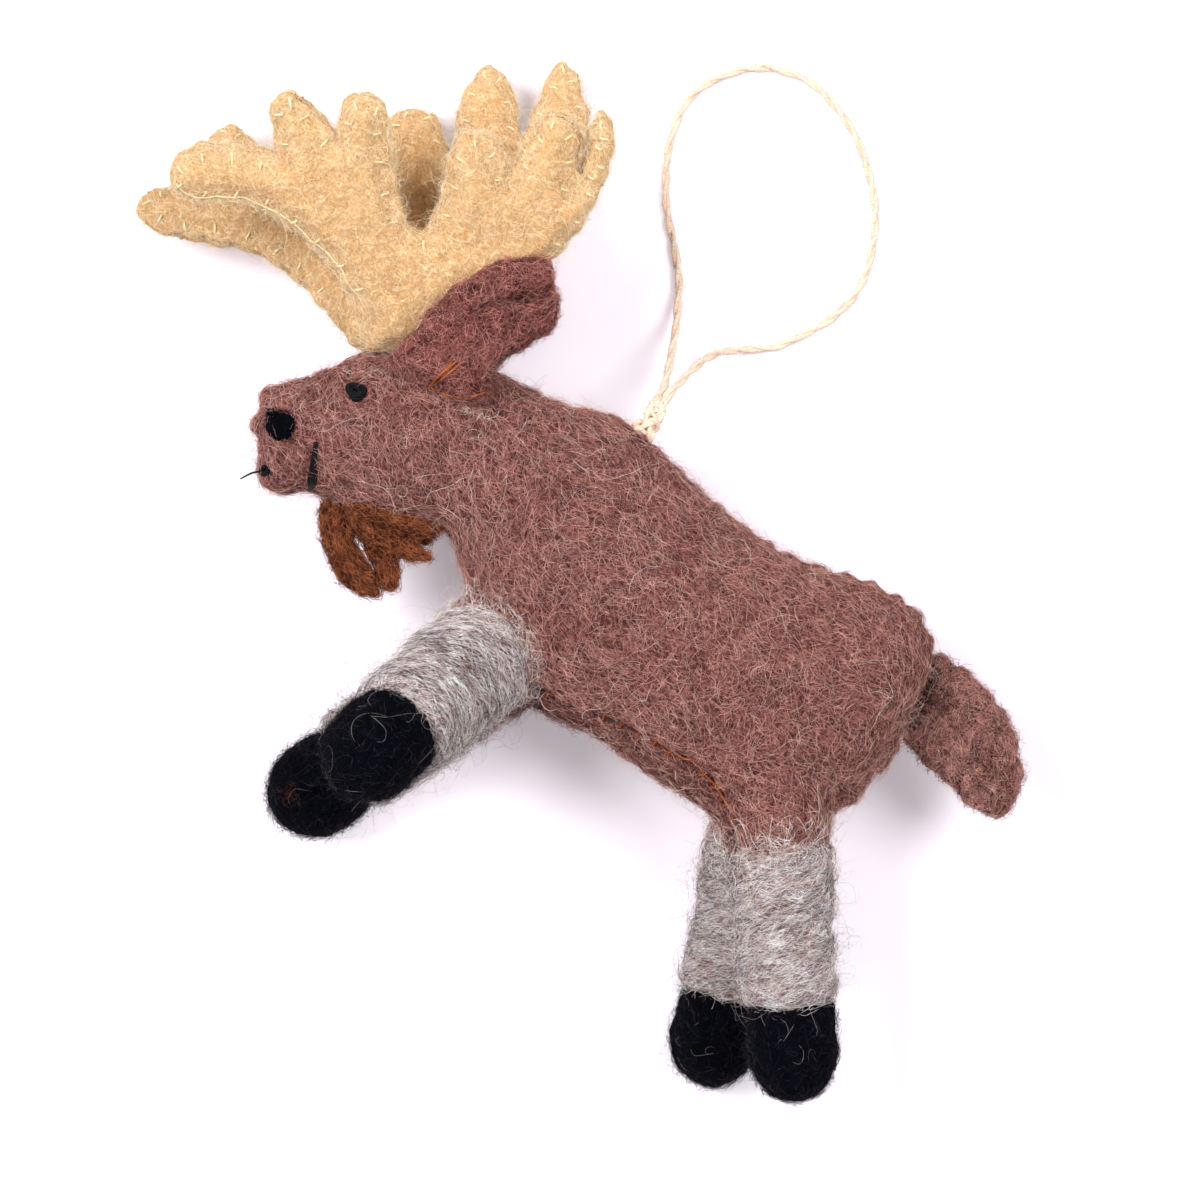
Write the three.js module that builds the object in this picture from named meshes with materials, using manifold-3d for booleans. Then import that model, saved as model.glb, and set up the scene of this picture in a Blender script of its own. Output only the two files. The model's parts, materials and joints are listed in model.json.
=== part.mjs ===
import * as THREE from "three";
import { mergeVertices } from "three/addons/utils/BufferGeometryUtils.js";
import Module from "manifold-3d";

const wasm = await Module();
wasm.setup();

// A hand-sewn wool felt moose ornament that lies on its right flank. Sizes are
// in millimetres. X runs from the muzzle to the tail, Y from the hooves to the
// antlers, and Z up from the surface to the left flank.

// Felt, clearances and working margins
const FELT = 1.8; // thickness of the felt of the body and the head
const GAP = 0.3; // clearance between pieces that touch
const SOCKET_GAP = 0.45; // clearance round the top of a leg, which turns
const WELD = 0.001; // vertices nearer than this are one vertex
const OVERRUN = 90; // how far a cutting solid runs past what it cuts

// Torso, measured over the felt
const TORSO_LENGTH = 67.4;
const TORSO_HEIGHT = 64.6;
const TORSO_DEPTH = 34;
const TORSO_X = 14.9; // middle of the torso from the frame's origin
const TORSO_Y = -4.8;
const FLANK_FLAT = 0.5; // depth of the flat on which the right flank lies
const MIDDLE_Z = TORSO_DEPTH / 2 - FLANK_FLAT;
const GUSSET_WIDTH = 18; // strip of felt under the belly
const GUSSET_REACH = 7; // how far up each side of the belly the strip can lie

// Head
const HEAD_LENGTH = 34.4;
const HEAD_HEIGHT = 22;
const HEAD_DEPTH = 25;
const HEAD_X = -28.4;
const HEAD_Y = 19.2;
const EYE_RADIUS = 1.5;
const NOSTRIL_RADIUS = 1.9;
const NOSTRIL_THICKNESS = 1.1; // half of it would show if the head were cut away
const LIP_KNOT_RADIUS = 0.8;
const MOUTH_THREAD_RADIUS = 0.35;

// Antlers, each of two layers of felt sewn round the edge
const ANTLER_SPAN = 60;
const ANTLER_RISE = 37.5;
const ANTLER_FELT = 1.8;
const ANTLER_SPREAD = 1.6; // between the two antlers where they meet the crown

// Ears, each a leaf of felt folded lengthwise
const EAR_LENGTH = 22;
const EAR_RISE = 19.3;
const EAR_DEPTH = 5.5;
const EAR_FELT = 1.6;
const EAR_OFFSET = 12.2; // from the middle of the head to the middle of the ear

// Tail
const TAIL_LENGTH = 13.8;
const TAIL_DROP = 16.5;
const TAIL_DEPTH = 5;
const TAIL_CLEARANCE = 0.5; // room for the seam that the tail swings on

// Legs: a felt core, a sleeve of wound wool and a felt hoof
const LEG_CORE_RADIUS = 2.4;
const SOCKET_WALL = 0.9; // felt round the rim that holds the top of a leg
const STUB_LENGTH = 13; // how far a thigh or shoulder reaches into the torso
const HOOF_HOLE = 5; // how far the core goes into the hoof
const FRONT_BALL_RADIUS = 5.9;
const FRONT_SLEEVE_RADIUS = 7.1;
const FRONT_LEG_LENGTH = 30;
const FRONT_HOOF_LENGTH = 13;
const FRONT_HOOF_RADIUS = 6.7;
const FRONT_SHOULDER_RADIUS = 8;
const FRONT_SPREAD = 15; // between the two front legs at their tops
const HIND_BALL_RADIUS = 5.3;
const HIND_SLEEVE_RADIUS = 6.2;
const HIND_LEG_LENGTH = 32.5;
const HIND_HOOF_LENGTH = 13.5;
const HIND_HOOF_RADIUS = 6.2;
const HIND_THIGH_RADIUS = 7.6;
const HIND_SPREAD = 13.5;

// Bell: a fringe of felt under the throat
const BELL_BAND_RADIUS = 1.1;
const BELL_WIDTH = 15.4;
const BELL_DROP = 13;
const BELL_STRAND_RADIUS = 1.5;

// Hanging loop
const TWINE_DIAMETER = 1.2;
const TWINE_SIDES = 8;
const TWINE_STEPS = 52;
const KNOT_RADIUS = 1.7;

// Angles in degrees
const LEG_FLEX = 12; // each way
const SOCKET_SLACK = 8; // by which a socket opens wider than its leg swings
const ANTLER_ANGLE_LEFT = 22; // away from the middle of the head
const ANTLER_ANGLE_RIGHT = 14;
const EAR_OPENING = 140; // an ear's felt goes this far round from its fold, each way
const MOUTH_TURNS = [97, 113, 131, 152]; // from the top of the head, down its side

// How fine the round forms are
const TORSO_RINGS = 13;
const TORSO_SIDES = 18;
const HEAD_RINGS = 10;
const HEAD_SIDES = 16;
const LINING_RINGS = 9;
const LINING_SIDES = 12;
const LEG_SIDES = 12;
const STRAND_SIDES = 6;

// Outline of each form as rows of upper x, upper y, lower x, lower y and depth
const torsoStationShares = [
  [-0.378, 0.506, -0.484, 0.17, 0.72],
  [-0.286, 0.455, -0.443, 0.053, 0.84],
  [-0.141, 0.409, -0.408, -0.081, 0.95],
  [-0.033, 0.323, -0.31, -0.202, 1],
  [0.108, 0.187, -0.18, -0.272, 1],
  [0.245, 0.102, -0.041, -0.372, 1],
  [0.392, 0.051, 0.122, -0.468, 0.92],
  [0.48, -0.013, 0.306, -0.43, 0.7],
  [0.504, -0.106, 0.429, -0.298, 0.34],
];
const headStationShares = [
  [-0.452, 0.206, -0.44, -0.269, 0.42],
  [-0.392, 0.312, -0.364, -0.388, 0.62],
  [-0.28, 0.362, -0.26, -0.369, 0.68],
  [-0.14, 0.444, -0.14, -0.425, 0.78],
  [0.008, 0.537, 0.02, -0.494, 0.9],
  [0.18, 0.556, 0.168, -0.556, 0.96],
  [0.36, 0.506, 0.256, -0.581, 0.98],
];
const earStationShares = [
  [-0.263, 0.164, 0.237, -0.164, 0.9],
  [-0.1, 0.379, 0.312, 0.093, 1],
  [0.075, 0.607, 0.419, 0.207, 1],
  [0.281, 0.771, 0.562, 0.314, 0.95],
  [0.5, 0.843, 0.675, 0.407, 0.85],
  [0.675, 0.829, 0.731, 0.536, 0.72],
];
const tailStationShares = [
  [0.165, 0.417, -0.105, -0.233, 0.3],
  [0.345, 0.358, 0.065, -0.417, 0.7],
  [0.585, 0.208, 0.295, -0.592, 1],
  [0.825, 0.017, 0.485, -0.75, 1],
  [0.985, -0.225, 0.665, -0.883, 0.95],
  [1.045, -0.525, 0.835, -0.917, 0.8],
  [1.015, -0.75, 0.935, -0.858, 0.4],
];

// Each antler from its root at the crown: along its span and up its rise
const leftAntlerShares = [
  [-0.041, 0.004],
  [-0.052, 0.168],
  [-0.079, 0.26],
  [-0.147, 0.401],
  [-0.187, 0.462],
  [-0.237, 0.531],
  [-0.284, 0.576],
  [-0.381, 0.595],
  [-0.447, 0.607],
  [-0.474, 0.641],
  [-0.483, 0.695],
  [-0.458, 0.76],
  [-0.42, 0.79],
  [-0.343, 0.794],
  [-0.237, 0.76],
  [-0.246, 0.844],
  [-0.251, 0.943],
  [-0.235, 0.977],
  [-0.205, 1],
  [-0.181, 0.969],
  [-0.144, 0.908],
  [-0.104, 0.817],
  [-0.095, 0.878],
  [-0.09, 0.954],
  [-0.065, 0.985],
  [-0.034, 0.992],
  [0.007, 0.943],
  [0.005, 0.832],
  [0.014, 0.725],
  [0.038, 0.527],
  [0.061, 0.466],
  [0.088, 0.466],
  [0.111, 0.508],
  [0.138, 0.618],
  [0.153, 0.756],
  [0.181, 0.828],
  [0.219, 0.844],
  [0.257, 0.805],
  [0.273, 0.718],
  [0.284, 0.664],
  [0.302, 0.733],
  [0.359, 0.901],
  [0.379, 0.92],
  [0.427, 0.885],
  [0.442, 0.817],
  [0.427, 0.615],
  [0.458, 0.744],
  [0.472, 0.859],
  [0.488, 0.916],
  [0.515, 0.859],
  [0.512, 0.763],
  [0.492, 0.641],
  [0.436, 0.481],
  [0.386, 0.37],
  [0.26, 0.237],
  [0.124, 0.107],
  [0.061, -0.008],
  [0.045, -0.134],
  [-0.029, -0.134],
];
const rightAntlerShares = [
  [-0.051, 0.004],
  [-0.086, 0.046],
  [-0.112, 0.111],
  [-0.161, 0.2],
  [-0.201, 0.273],
  [-0.261, 0.343],
  [-0.322, 0.401],
  [-0.389, 0.428],
  [-0.461, 0.443],
  [-0.521, 0.463],
  [-0.559, 0.494],
  [-0.578, 0.54],
  [-0.574, 0.591],
  [-0.542, 0.622],
  [-0.486, 0.641],
  [-0.389, 0.661],
  [-0.409, 0.747],
  [-0.414, 0.817],
  [-0.396, 0.86],
  [-0.366, 0.876],
  [-0.333, 0.84],
  [-0.297, 0.766],
  [-0.26, 0.7],
  [-0.247, 0.786],
  [-0.243, 0.883],
  [-0.222, 0.95],
  [-0.192, 0.966],
  [-0.159, 0.911],
  [-0.128, 0.786],
  [-0.088, 0.61],
  [-0.05, 0.505],
  [-0.017, 0.505],
  [0.005, 0.63],
  [-0, 0.786],
  [-0.003, 0.883],
  [0.022, 0.934],
  [0.064, 0.934],
  [0.106, 0.915],
  [0.129, 0.805],
  [0.144, 0.739],
  [0.155, 0.825],
  [0.161, 0.942],
  [0.18, 1.013],
  [0.207, 1.083],
  [0.233, 1.107],
  [0.259, 1.076],
  [0.287, 1.001],
  [0.299, 0.883],
  [0.301, 0.778],
  [0.329, 0.911],
  [0.359, 1.021],
  [0.371, 1.083],
  [0.401, 1.119],
  [0.431, 1.083],
  [0.459, 0.934],
  [0.459, 0.825],
  [0.436, 0.688],
  [0.394, 0.552],
  [0.325, 0.397],
  [0.21, 0.204],
  [0.096, 0.031],
  [0.055, -0.004],
  [0.039, -0.096],
  [-0.028, -0.096],
];

// Strands of the bell from the front end of its band, with their thickness
const bellStrands = [
  { pathShares: [[0.06, -0.1], [0.04, -0.34], [0.11, -0.58], [0.25, -0.78], [0.38, -0.92]], widthShare: 1.1 },
  { pathShares: [[0.33, -0.18], [0.39, -0.39], [0.5, -0.62], [0.57, -0.81]], widthShare: 1 },
  { pathShares: [[0.54, -0.24], [0.63, -0.37], [0.75, -0.48], [0.88, -0.56]], widthShare: 0.8 },
  { pathShares: [[0.76, -0.3], [0.86, -0.32], [0.97, -0.34]], widthShare: 0.7 },
];

// How pieces taper, as shares of their own sizes
const STRAND_THICKNESS_SHARE = 0.75;
const STRAND_TAPER_SHARE = 0.45;
const SLEEVE_SWELL_SHARE = 0.4;
const SLEEVE_FULL_SHARE = 0.7;
const SLEEVE_END_SHARE = 0.97;
const HOOF_TOP_SHARE = 0.93;

// Places along a form, from its front end to its far end
const EYE_SHARE = 0.521;
const EYE_TURN = 61;
const NOSTRIL_SHARE = 0.171;
const NOSTRIL_TURN = 76;
const LIP_KNOT_SHARE = 0.071;
const LIP_KNOT_TURN = 129;
const MOUTH_SHARE = 0.33;
const ANTLER_SEAT_SHARE = 0.623;
const EAR_SEAT_SHARE = 0.793;
const EAR_DROP_SHARE = 0.2; // of the head's height, from its top to an ear's root
const BELL_FRONT_SHARE = 0.42;
const BELL_BACK_SHARE = 0.83;
const KNOT_SEAT_SHARE = 0.3125;
const GUSSET_FRONT_SHARE = 0.37;
const GUSSET_BACK_SHARE = 0.66;

// Tops of the legs from the middle of the torso, and where each leg points:
// its heading in the plane of the flanks and its lift out of it, in degrees
const legPlaces = {
  front_left: { xShare: -0.427, yShare: -0.111, headingAngle: 220.9, liftAngle: 40 },
  front_right: { xShare: -0.48, yShare: -0.178, headingAngle: 215.6, liftAngle: -4.5 },
  hind_left: { xShare: 0.19, yShare: -0.536, headingAngle: 274.1, liftAngle: 0 },
  hind_right: { xShare: 0.146, yShare: -0.536, headingAngle: 257.5, liftAngle: -6.5 },
};

// The twine from one side of its knot, round the loop and back
const TWINE_ROUTE = [
  [9.63, 21.92, 16.75],
  [9.75, 23.1, 16.65],
  [10.6, 24.8, 14.9],
  [11.9, 26.8, 11.7],
  [13, 29.8, 8.2],
  [13.7, 33.5, 4.6],
  [14.1, 37.5, 2],
  [14.3, 41.3, 0.9],
  [13.7, 45.8, 0.7],
  [12.5, 52.5, 0.7],
  [12.9, 60.1, 0.7],
  [15.3, 66.2, 0.7],
  [18, 68.8, 0.7],
  [20.9, 70.2, 0.7],
  [23.9, 71.1, 0.7],
  [26.9, 71.2, 0.7],
  [29.9, 70.5, 0.7],
  [33, 69, 0.7],
  [35.9, 66.2, 0.7],
  [38.2, 63.1, 0.7],
  [39.9, 59.7, 0.7],
  [41.8, 51.8, 0.7],
  [41.3, 45.1, 0.7],
  [40.1, 41.3, 0.7],
  [38.2, 38.4, 0.7],
  [35.2, 35.7, 0.7],
  [31.4, 33.6, 0.7],
  [27.6, 32, 0.8],
  [23.8, 31.5, 1.4],
  [20.8, 30.8, 3.4],
  [18.6, 29.8, 6.2],
  [16.3, 27.5, 10.2],
  [14.6, 24.7, 13.2],
  [12.9, 22.5, 15.6],
  [11.2, 21.08, 16.3],
];

const UP = new THREE.Vector3(0, 0, 1);

function vector([x, y, z]) {
  return new THREE.Vector3(x, y, z);
}

// A felt or wool material
function wool(color, roughness) {
  return new THREE.MeshStandardMaterial({ color, roughness, metalness: 0 });
}

const bodyFelt = () => wool(0x80564f, 0.95);
const stuffingWool = () => wool(0xd8d2c8, 1);
const antlerFelt = () => wool(0xd7b478, 0.95);
const earFelt = () => wool(0x825055, 0.95);
const bellFelt = () => wool(0x87502d, 0.95);
const legWool = () => wool(0xaaa29a, 1);
const hoofFelt = () => wool(0x16181e, 0.9);
const blackThread = () => wool(0x141416, 0.7);
const twine = () => wool(0xebc8a5, 0.85);

// A closed mesh as a solid that can be joined and cut
function solid(geometry) {
  const bare = geometry.index ? geometry.toNonIndexed() : geometry.clone();
  bare.deleteAttribute("normal");
  bare.deleteAttribute("uv");
  const merged = mergeVertices(bare, WELD);
  const corners = merged.index.array;
  const faces = [];
  for (let i = 0; i < corners.length; i += 3) {
    const [a, b, c] = corners.slice(i, i + 3);
    if (a !== b && b !== c && a !== c) faces.push([a, b, c]);
  }
  const made = (order) =>
    new wasm.Manifold(
      new wasm.Mesh({
        numProp: 3,
        vertProperties: merged.attributes.position.array,
        triVerts: new Uint32Array(faces.flatMap(order)),
      }),
    );
  const first = made((face) => face);
  return first.volume() < 0 ? made(([a, b, c]) => [a, c, b]) : first;
}

// A solid as a geometry
function geometryOf(shape) {
  const { vertProperties, triVerts } = shape.getMesh();
  const geometry = new THREE.BufferGeometry();
  geometry.setAttribute("position", new THREE.BufferAttribute(vertProperties, 3));
  geometry.setIndex(new THREE.BufferAttribute(triVerts, 1));
  geometry.computeVertexNormals();
  return geometry;
}

function joined(shapes) {
  return shapes.reduce((all, shape) => all.add(shape));
}

function cutBy(shape, cutters) {
  return cutters.reduce((rest, cutter) => rest.subtract(cutter), shape);
}

function piece(name, geometry, material) {
  const mesh = new THREE.Mesh(geometry, material);
  mesh.name = name;
  return mesh;
}

// Pieces that move together, in a group that stands at their hinge
function hinged(name, pivot, meshes) {
  const group = new THREE.Group();
  group.name = name;
  group.position.copy(pivot);
  for (const mesh of meshes) {
    mesh.geometry.translate(-pivot.x, -pivot.y, -pivot.z);
    group.add(mesh);
  }
  return group;
}

// Triangles that close a ring of points, turned with the ring or against it
function capFaces(ring, first, against) {
  const normal = new THREE.Vector3();
  ring.forEach((p, i) => normal.add(p.clone().cross(ring[(i + 1) % ring.length])));
  normal.normalize();
  const along = ring[1].clone().sub(ring[0]).projectOnPlane(normal).normalize();
  const beside = normal.clone().cross(along);
  const flat = ring.map((p) => new THREE.Vector2(p.dot(along), p.dot(beside)));
  return THREE.ShapeUtils.triangulateShape(flat, []).flatMap(([a, b, c]) => {
    const turn = flat[b].clone().sub(flat[a]).cross(flat[c].clone().sub(flat[a]));
    const order = turn > 0 === against ? [a, c, b] : [a, b, c];
    return order.map((corner) => corner + first);
  });
}

// One closed body through rings of as many points each
function loft(rings) {
  const size = rings[0].length;
  const faces = [];
  for (let i = 0; i + 1 < rings.length; i += 1) {
    for (let j = 0; j < size; j += 1) {
      const a = i * size + j;
      const b = i * size + ((j + 1) % size);
      faces.push(a, b, b + size, a, b + size, a + size);
    }
  }
  faces.push(...capFaces(rings[0], 0, true));
  faces.push(...capFaces(rings.at(-1), (rings.length - 1) * size, false));
  const geometry = new THREE.BufferGeometry();
  geometry.setAttribute(
    "position",
    new THREE.Float32BufferAttribute(rings.flat().flatMap((p) => p.toArray()), 3),
  );
  geometry.setIndex(faces);
  return geometry;
}

// A form between an upper and a lower line. The upper line's z is half its depth
function formOf(stationShares, { x, y, length, height, depth }) {
  const upper = stationShares.map(
    ([ux, uy, , , d]) => new THREE.Vector3(x + ux * length, y + uy * height, (d * depth) / 2),
  );
  const lower = stationShares.map(
    ([, , lx, ly]) => new THREE.Vector3(x + lx * length, y + ly * height, 0),
  );
  return { upper, lower };
}

function withLines({ upper, lower }) {
  return {
    upperLine: new THREE.CatmullRomCurve3(upper),
    lowerLine: new THREE.CatmullRomCurve3(lower),
  };
}

// The section of a form at a share of its length, grown by a margin all round
function sectionOf(form, share, grow) {
  const a = form.upperLine.getPoint(share);
  const b = form.lowerLine.getPoint(share);
  const half = a.z + grow;
  a.z = 0;
  b.z = 0;
  const centre = a.clone().add(b).multiplyScalar(0.5);
  centre.z = MIDDLE_Z;
  const across = a.sub(b).multiplyScalar(0.5);
  across.setLength(across.length() + grow);
  return { centre, across, half };
}

// A point on a form's surface, turned from its top line down its left side
function pointOn(form, share, turn, grow) {
  const { centre, across, half } = sectionOf(form, share, grow);
  const angle = THREE.MathUtils.degToRad(turn);
  return centre.addScaledVector(across, Math.cos(angle)).addScaledVector(UP, half * Math.sin(angle));
}

function normalOn(form, share, turn) {
  return pointOn(form, share, turn, GAP).sub(pointOn(form, share, turn, 0)).normalize();
}

// A stuffed form, grown or drawn in by a margin, its ends moved outwards by theirs.
// An end that is moved outwards gets a ring more, so that the form keeps its line,
// and rings that an end moved inwards comes near to are left out
function stuffed(form, rings, sides, grow, startMove, endMove) {
  const ringAt = (share, move) => {
    const { centre, across, half } = sectionOf(form, share, grow);
    const inward = sectionOf(form, share < 0.5 ? 1 / rings : 1 - 1 / rings, grow).centre;
    centre.addScaledVector(centre.clone().sub(inward).normalize(), move);
    const ring = [];
    for (let j = 0; j < sides; j += 1) {
      const angle = (2 * Math.PI * j) / sides;
      ring.push(
        centre
          .clone()
          .addScaledVector(across, Math.cos(angle))
          .addScaledVector(UP, half * Math.sin(angle)),
      );
    }
    return ring;
  };
  const made = [];
  if (startMove > 0) made.push(ringAt(0, startMove));
  const ends = [0, 1].map((share) => sectionOf(form, share, grow).centre);
  const inwards = [startMove, endMove].map((move) => Math.min(move, 0));
  made.push(ringAt(0, inwards[0]));
  for (let i = 1; i < rings; i += 1) {
    const { centre } = sectionOf(form, i / rings, grow);
    const clear = ends.every((end, k) => centre.distanceTo(end) > -2 * inwards[k]);
    if (clear) made.push(ringAt(i / rings, 0));
  }
  made.push(ringAt(1, inwards[1]));
  if (endMove > 0) made.push(ringAt(1, endMove));
  return solid(loft(made));
}

// Everything on one side of the middle, from a clearance off it: side 1 is the left
function halfSpace(side, clearance) {
  const box = new THREE.BoxGeometry(2 * OVERRUN, 2 * OVERRUN, OVERRUN);
  box.translate(0, 0, MIDDLE_Z + side * (OVERRUN / 2 + clearance));
  return solid(box);
}

// Everything under the surface that the ornament lies on
function underFloor() {
  const box = new THREE.BoxGeometry(2 * OVERRUN, 2 * OVERRUN, OVERRUN);
  box.translate(0, 0, -OVERRUN / 2);
  return solid(box);
}

// A body of revolution whose axis starts at a point and runs along a direction
function turned(profile, pivot, direction, sides) {
  const points = profile.map(([radius, along]) => new THREE.Vector2(radius, along));
  const geometry = new THREE.LatheGeometry(points, sides);
  const turn = new THREE.Quaternion().setFromUnitVectors(new THREE.Vector3(0, 1, 0), direction);
  geometry.applyQuaternion(turn);
  geometry.translate(pivot.x, pivot.y, pivot.z);
  return solid(geometry);
}

// A tube of a round section along a line
function tube(line, radius, sides, steps) {
  const section = [];
  for (let i = 0; i < sides; i += 1) {
    const angle = (2 * Math.PI * (i + 0.5)) / sides;
    section.push(new THREE.Vector2(radius * Math.cos(angle), radius * Math.sin(angle)));
  }
  return new THREE.ExtrudeGeometry(new THREE.Shape(section), { steps, extrudePath: line });
}

// Part of a circle as a profile, from one angle off the axis to another
function arc(radius, from, to, count) {
  const points = [];
  for (let i = 0; i <= count; i += 1) {
    const angle = from + ((to - from) * i) / count;
    points.push([radius * Math.sin(angle), -radius * Math.cos(angle)]);
  }
  return points;
}

const torsoStations = formOf(torsoStationShares, {
  x: TORSO_X,
  y: TORSO_Y,
  length: TORSO_LENGTH,
  height: TORSO_HEIGHT,
  depth: TORSO_DEPTH,
});
const torso = withLines(torsoStations);

// The head ends in the section that the torso starts with
const headStations = formOf(headStationShares, {
  x: HEAD_X,
  y: HEAD_Y,
  length: HEAD_LENGTH,
  height: HEAD_HEIGHT,
  depth: HEAD_DEPTH,
});
headStations.upper.push(torsoStations.upper[0]);
headStations.lower.push(torsoStations.lower[0]);
const head = withLines(headStations);

const torsoGrown = stuffed(torso, TORSO_RINGS, TORSO_SIDES, GAP, GAP, GAP);
const headGrown = stuffed(head, HEAD_RINGS, HEAD_SIDES, GAP, GAP, GAP);

const frontLeg = {
  ball: FRONT_BALL_RADIUS,
  sleeve: FRONT_SLEEVE_RADIUS,
  length: FRONT_LEG_LENGTH,
  hoofLength: FRONT_HOOF_LENGTH,
  hoof: FRONT_HOOF_RADIUS,
  root: FRONT_SHOULDER_RADIUS,
  spread: FRONT_SPREAD,
};
const hindLeg = {
  ball: HIND_BALL_RADIUS,
  sleeve: HIND_SLEEVE_RADIUS,
  length: HIND_LEG_LENGTH,
  hoofLength: HIND_HOOF_LENGTH,
  hoof: HIND_HOOF_RADIUS,
  root: HIND_THIGH_RADIUS,
  spread: HIND_SPREAD,
};

// A leg's sizes with its side, its pivot and the way that it points
function legAt(name, leg, side) {
  const { xShare, yShare, headingAngle, liftAngle } = legPlaces[name];
  const pivot = new THREE.Vector3(
    TORSO_X + xShare * TORSO_LENGTH,
    TORSO_Y + yShare * TORSO_HEIGHT,
    MIDDLE_Z + (side * leg.spread) / 2,
  );
  const turn = THREE.MathUtils.degToRad(headingAngle);
  const lift = THREE.MathUtils.degToRad(liftAngle);
  const direction = new THREE.Vector3(
    Math.cos(turn) * Math.cos(lift),
    Math.sin(turn) * Math.cos(lift),
    Math.sin(lift),
  );
  return { ...leg, name, side, pivot, direction };
}

const legs = [
  legAt("front_left", frontLeg, 1),
  legAt("front_right", frontLeg, -1),
  legAt("hind_left", hindLeg, 1),
  legAt("hind_right", hindLeg, -1),
];

// The thigh or shoulder that a leg comes out of, grown by a margin
function stub({ ball, root, pivot, direction }, grow) {
  const rim = ball + SOCKET_GAP + SOCKET_WALL + grow;
  const profile = [
    [0, -STUB_LENGTH - grow],
    [root + grow, -STUB_LENGTH - grow],
    [root + grow, -STUB_LENGTH / 2],
    [rim, grow],
    [0, grow],
  ];
  return turned(profile, pivot, direction, LEG_SIDES);
}

// The room that a leg's top turns in, and the room in front of it when it flexes
function socket({ ball, length, pivot, direction }) {
  const room = ball + SOCKET_GAP;
  const flare = Math.tan(THREE.MathUtils.degToRad(LEG_FLEX + SOCKET_SLACK));
  const profile = [...arc(room, 0, Math.PI / 2, 4), [room + length * flare, length], [0, length]];
  return turned(profile, pivot, direction, LEG_SIDES);
}

// The strip of felt along the belly, in the plane of the flanks, of a width in z
function gussetSpace(width, margin) {
  const steps = 6;
  const outer = [];
  const inner = [];
  const span = GUSSET_BACK_SHARE - GUSSET_FRONT_SHARE;
  for (let i = 0; i <= steps; i += 1) {
    const share = GUSSET_FRONT_SHARE + (span * i) / steps;
    const { centre, across } = sectionOf(torso, share, 0);
    const down = across.clone().normalize().negate();
    const edge = centre.clone().sub(across);
    outer.push(edge.clone().addScaledVector(down, FELT));
    inner.push(edge.clone().addScaledVector(down, -GUSSET_REACH - margin));
  }
  const along = outer.at(-1).clone().sub(outer[0]).normalize();
  for (const row of [outer, inner]) {
    row[0].addScaledVector(along, -margin);
    row.at(-1).addScaledVector(along, margin);
  }
  const outline = [...outer, ...inner.reverse()].map((p) => new THREE.Vector2(p.x, p.y));
  const depth = width + 2 * margin;
  const geometry = new THREE.ExtrudeGeometry(new THREE.Shape(outline), {
    depth,
    bevelEnabled: false,
  });
  geometry.translate(0, 0, MIDDLE_Z - depth / 2);
  return solid(geometry);
}

// Left and right side panels with their thighs and shoulders, the belly gusset
// between them and the stuffing inside
function torsoPieces() {
  const outer = stuffed(torso, TORSO_RINGS, TORSO_SIDES, 0, 0, 0);
  const lining = stuffed(torso, LINING_RINGS, LINING_SIDES, -FELT, FELT, -FELT);
  const filled = FELT + GAP;
  const filling = stuffed(torso, LINING_RINGS, LINING_SIDES, -filled, 0, -filled);
  const shell = outer.subtract(lining);
  const sockets = legs.map(socket);
  const besideGusset = shell.subtract(gussetSpace(GUSSET_WIDTH, GAP));
  const panel = (side) => {
    const stubs = legs
      .filter((leg) => leg.side === side)
      .map((leg) => stub(leg, 0).subtract(lining));
    const sewn = joined([besideGusset, ...stubs]).intersect(halfSpace(side, GAP / 2));
    return cutBy(sewn, [...sockets, underFloor()]);
  };
  const gusset = cutBy(shell.intersect(gussetSpace(GUSSET_WIDTH, 0)), [
    ...legs.map((leg) => stub(leg, GAP)),
    ...sockets,
  ]);
  return [
    piece("torso_left_panel", geometryOf(panel(1)), bodyFelt()),
    piece("torso_right_panel", geometryOf(panel(-1)), bodyFelt()),
    piece("belly_gusset", geometryOf(gusset), bodyFelt()),
    piece("torso_stuffing", geometryOf(cutBy(filling, sockets)), stuffingWool()),
  ];
}

// Left and right head panels and the stuffing between them
function headPieces() {
  const outer = stuffed(head, HEAD_RINGS, HEAD_SIDES, 0, 0, -GAP);
  const lining = stuffed(head, LINING_RINGS, LINING_SIDES, -FELT, -FELT, FELT);
  const filled = FELT + GAP;
  const filling = stuffed(head, LINING_RINGS, LINING_SIDES, -filled, -filled, -GAP);
  const shell = outer.subtract(lining);
  return [
    piece("head_left_panel", geometryOf(shell.intersect(halfSpace(1, GAP / 2))), bodyFelt()),
    piece("head_right_panel", geometryOf(shell.intersect(halfSpace(-1, GAP / 2))), bodyFelt()),
    piece("head_stuffing", geometryOf(filling), stuffingWool()),
  ];
}

// A knot of thread or a patch of felt that stands out of the head's side
function button(name, share, turn, radius, thickness) {
  const geometry = new THREE.SphereGeometry(radius, 10, 6);
  geometry.rotateX(Math.PI / 2);
  geometry.scale(1, 1, thickness / radius);
  const normal = normalOn(head, share, turn);
  geometry.applyQuaternion(new THREE.Quaternion().setFromUnitVectors(UP, normal));
  const place = pointOn(head, share, turn, 0);
  geometry.translate(place.x, place.y, place.z);
  return piece(name, geometryOf(solid(geometry).subtract(headGrown)), blackThread());
}

// The line of thread at a corner of the mouth
function mouthStitch(name, side) {
  const points = MOUTH_TURNS.map((turn) =>
    pointOn(head, MOUTH_SHARE, side * turn, GAP + MOUTH_THREAD_RADIUS),
  );
  const line = new THREE.CatmullRomCurve3(points);
  return piece(name, tube(line, MOUTH_THREAD_RADIUS, STRAND_SIDES, 6), blackThread());
}

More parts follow.
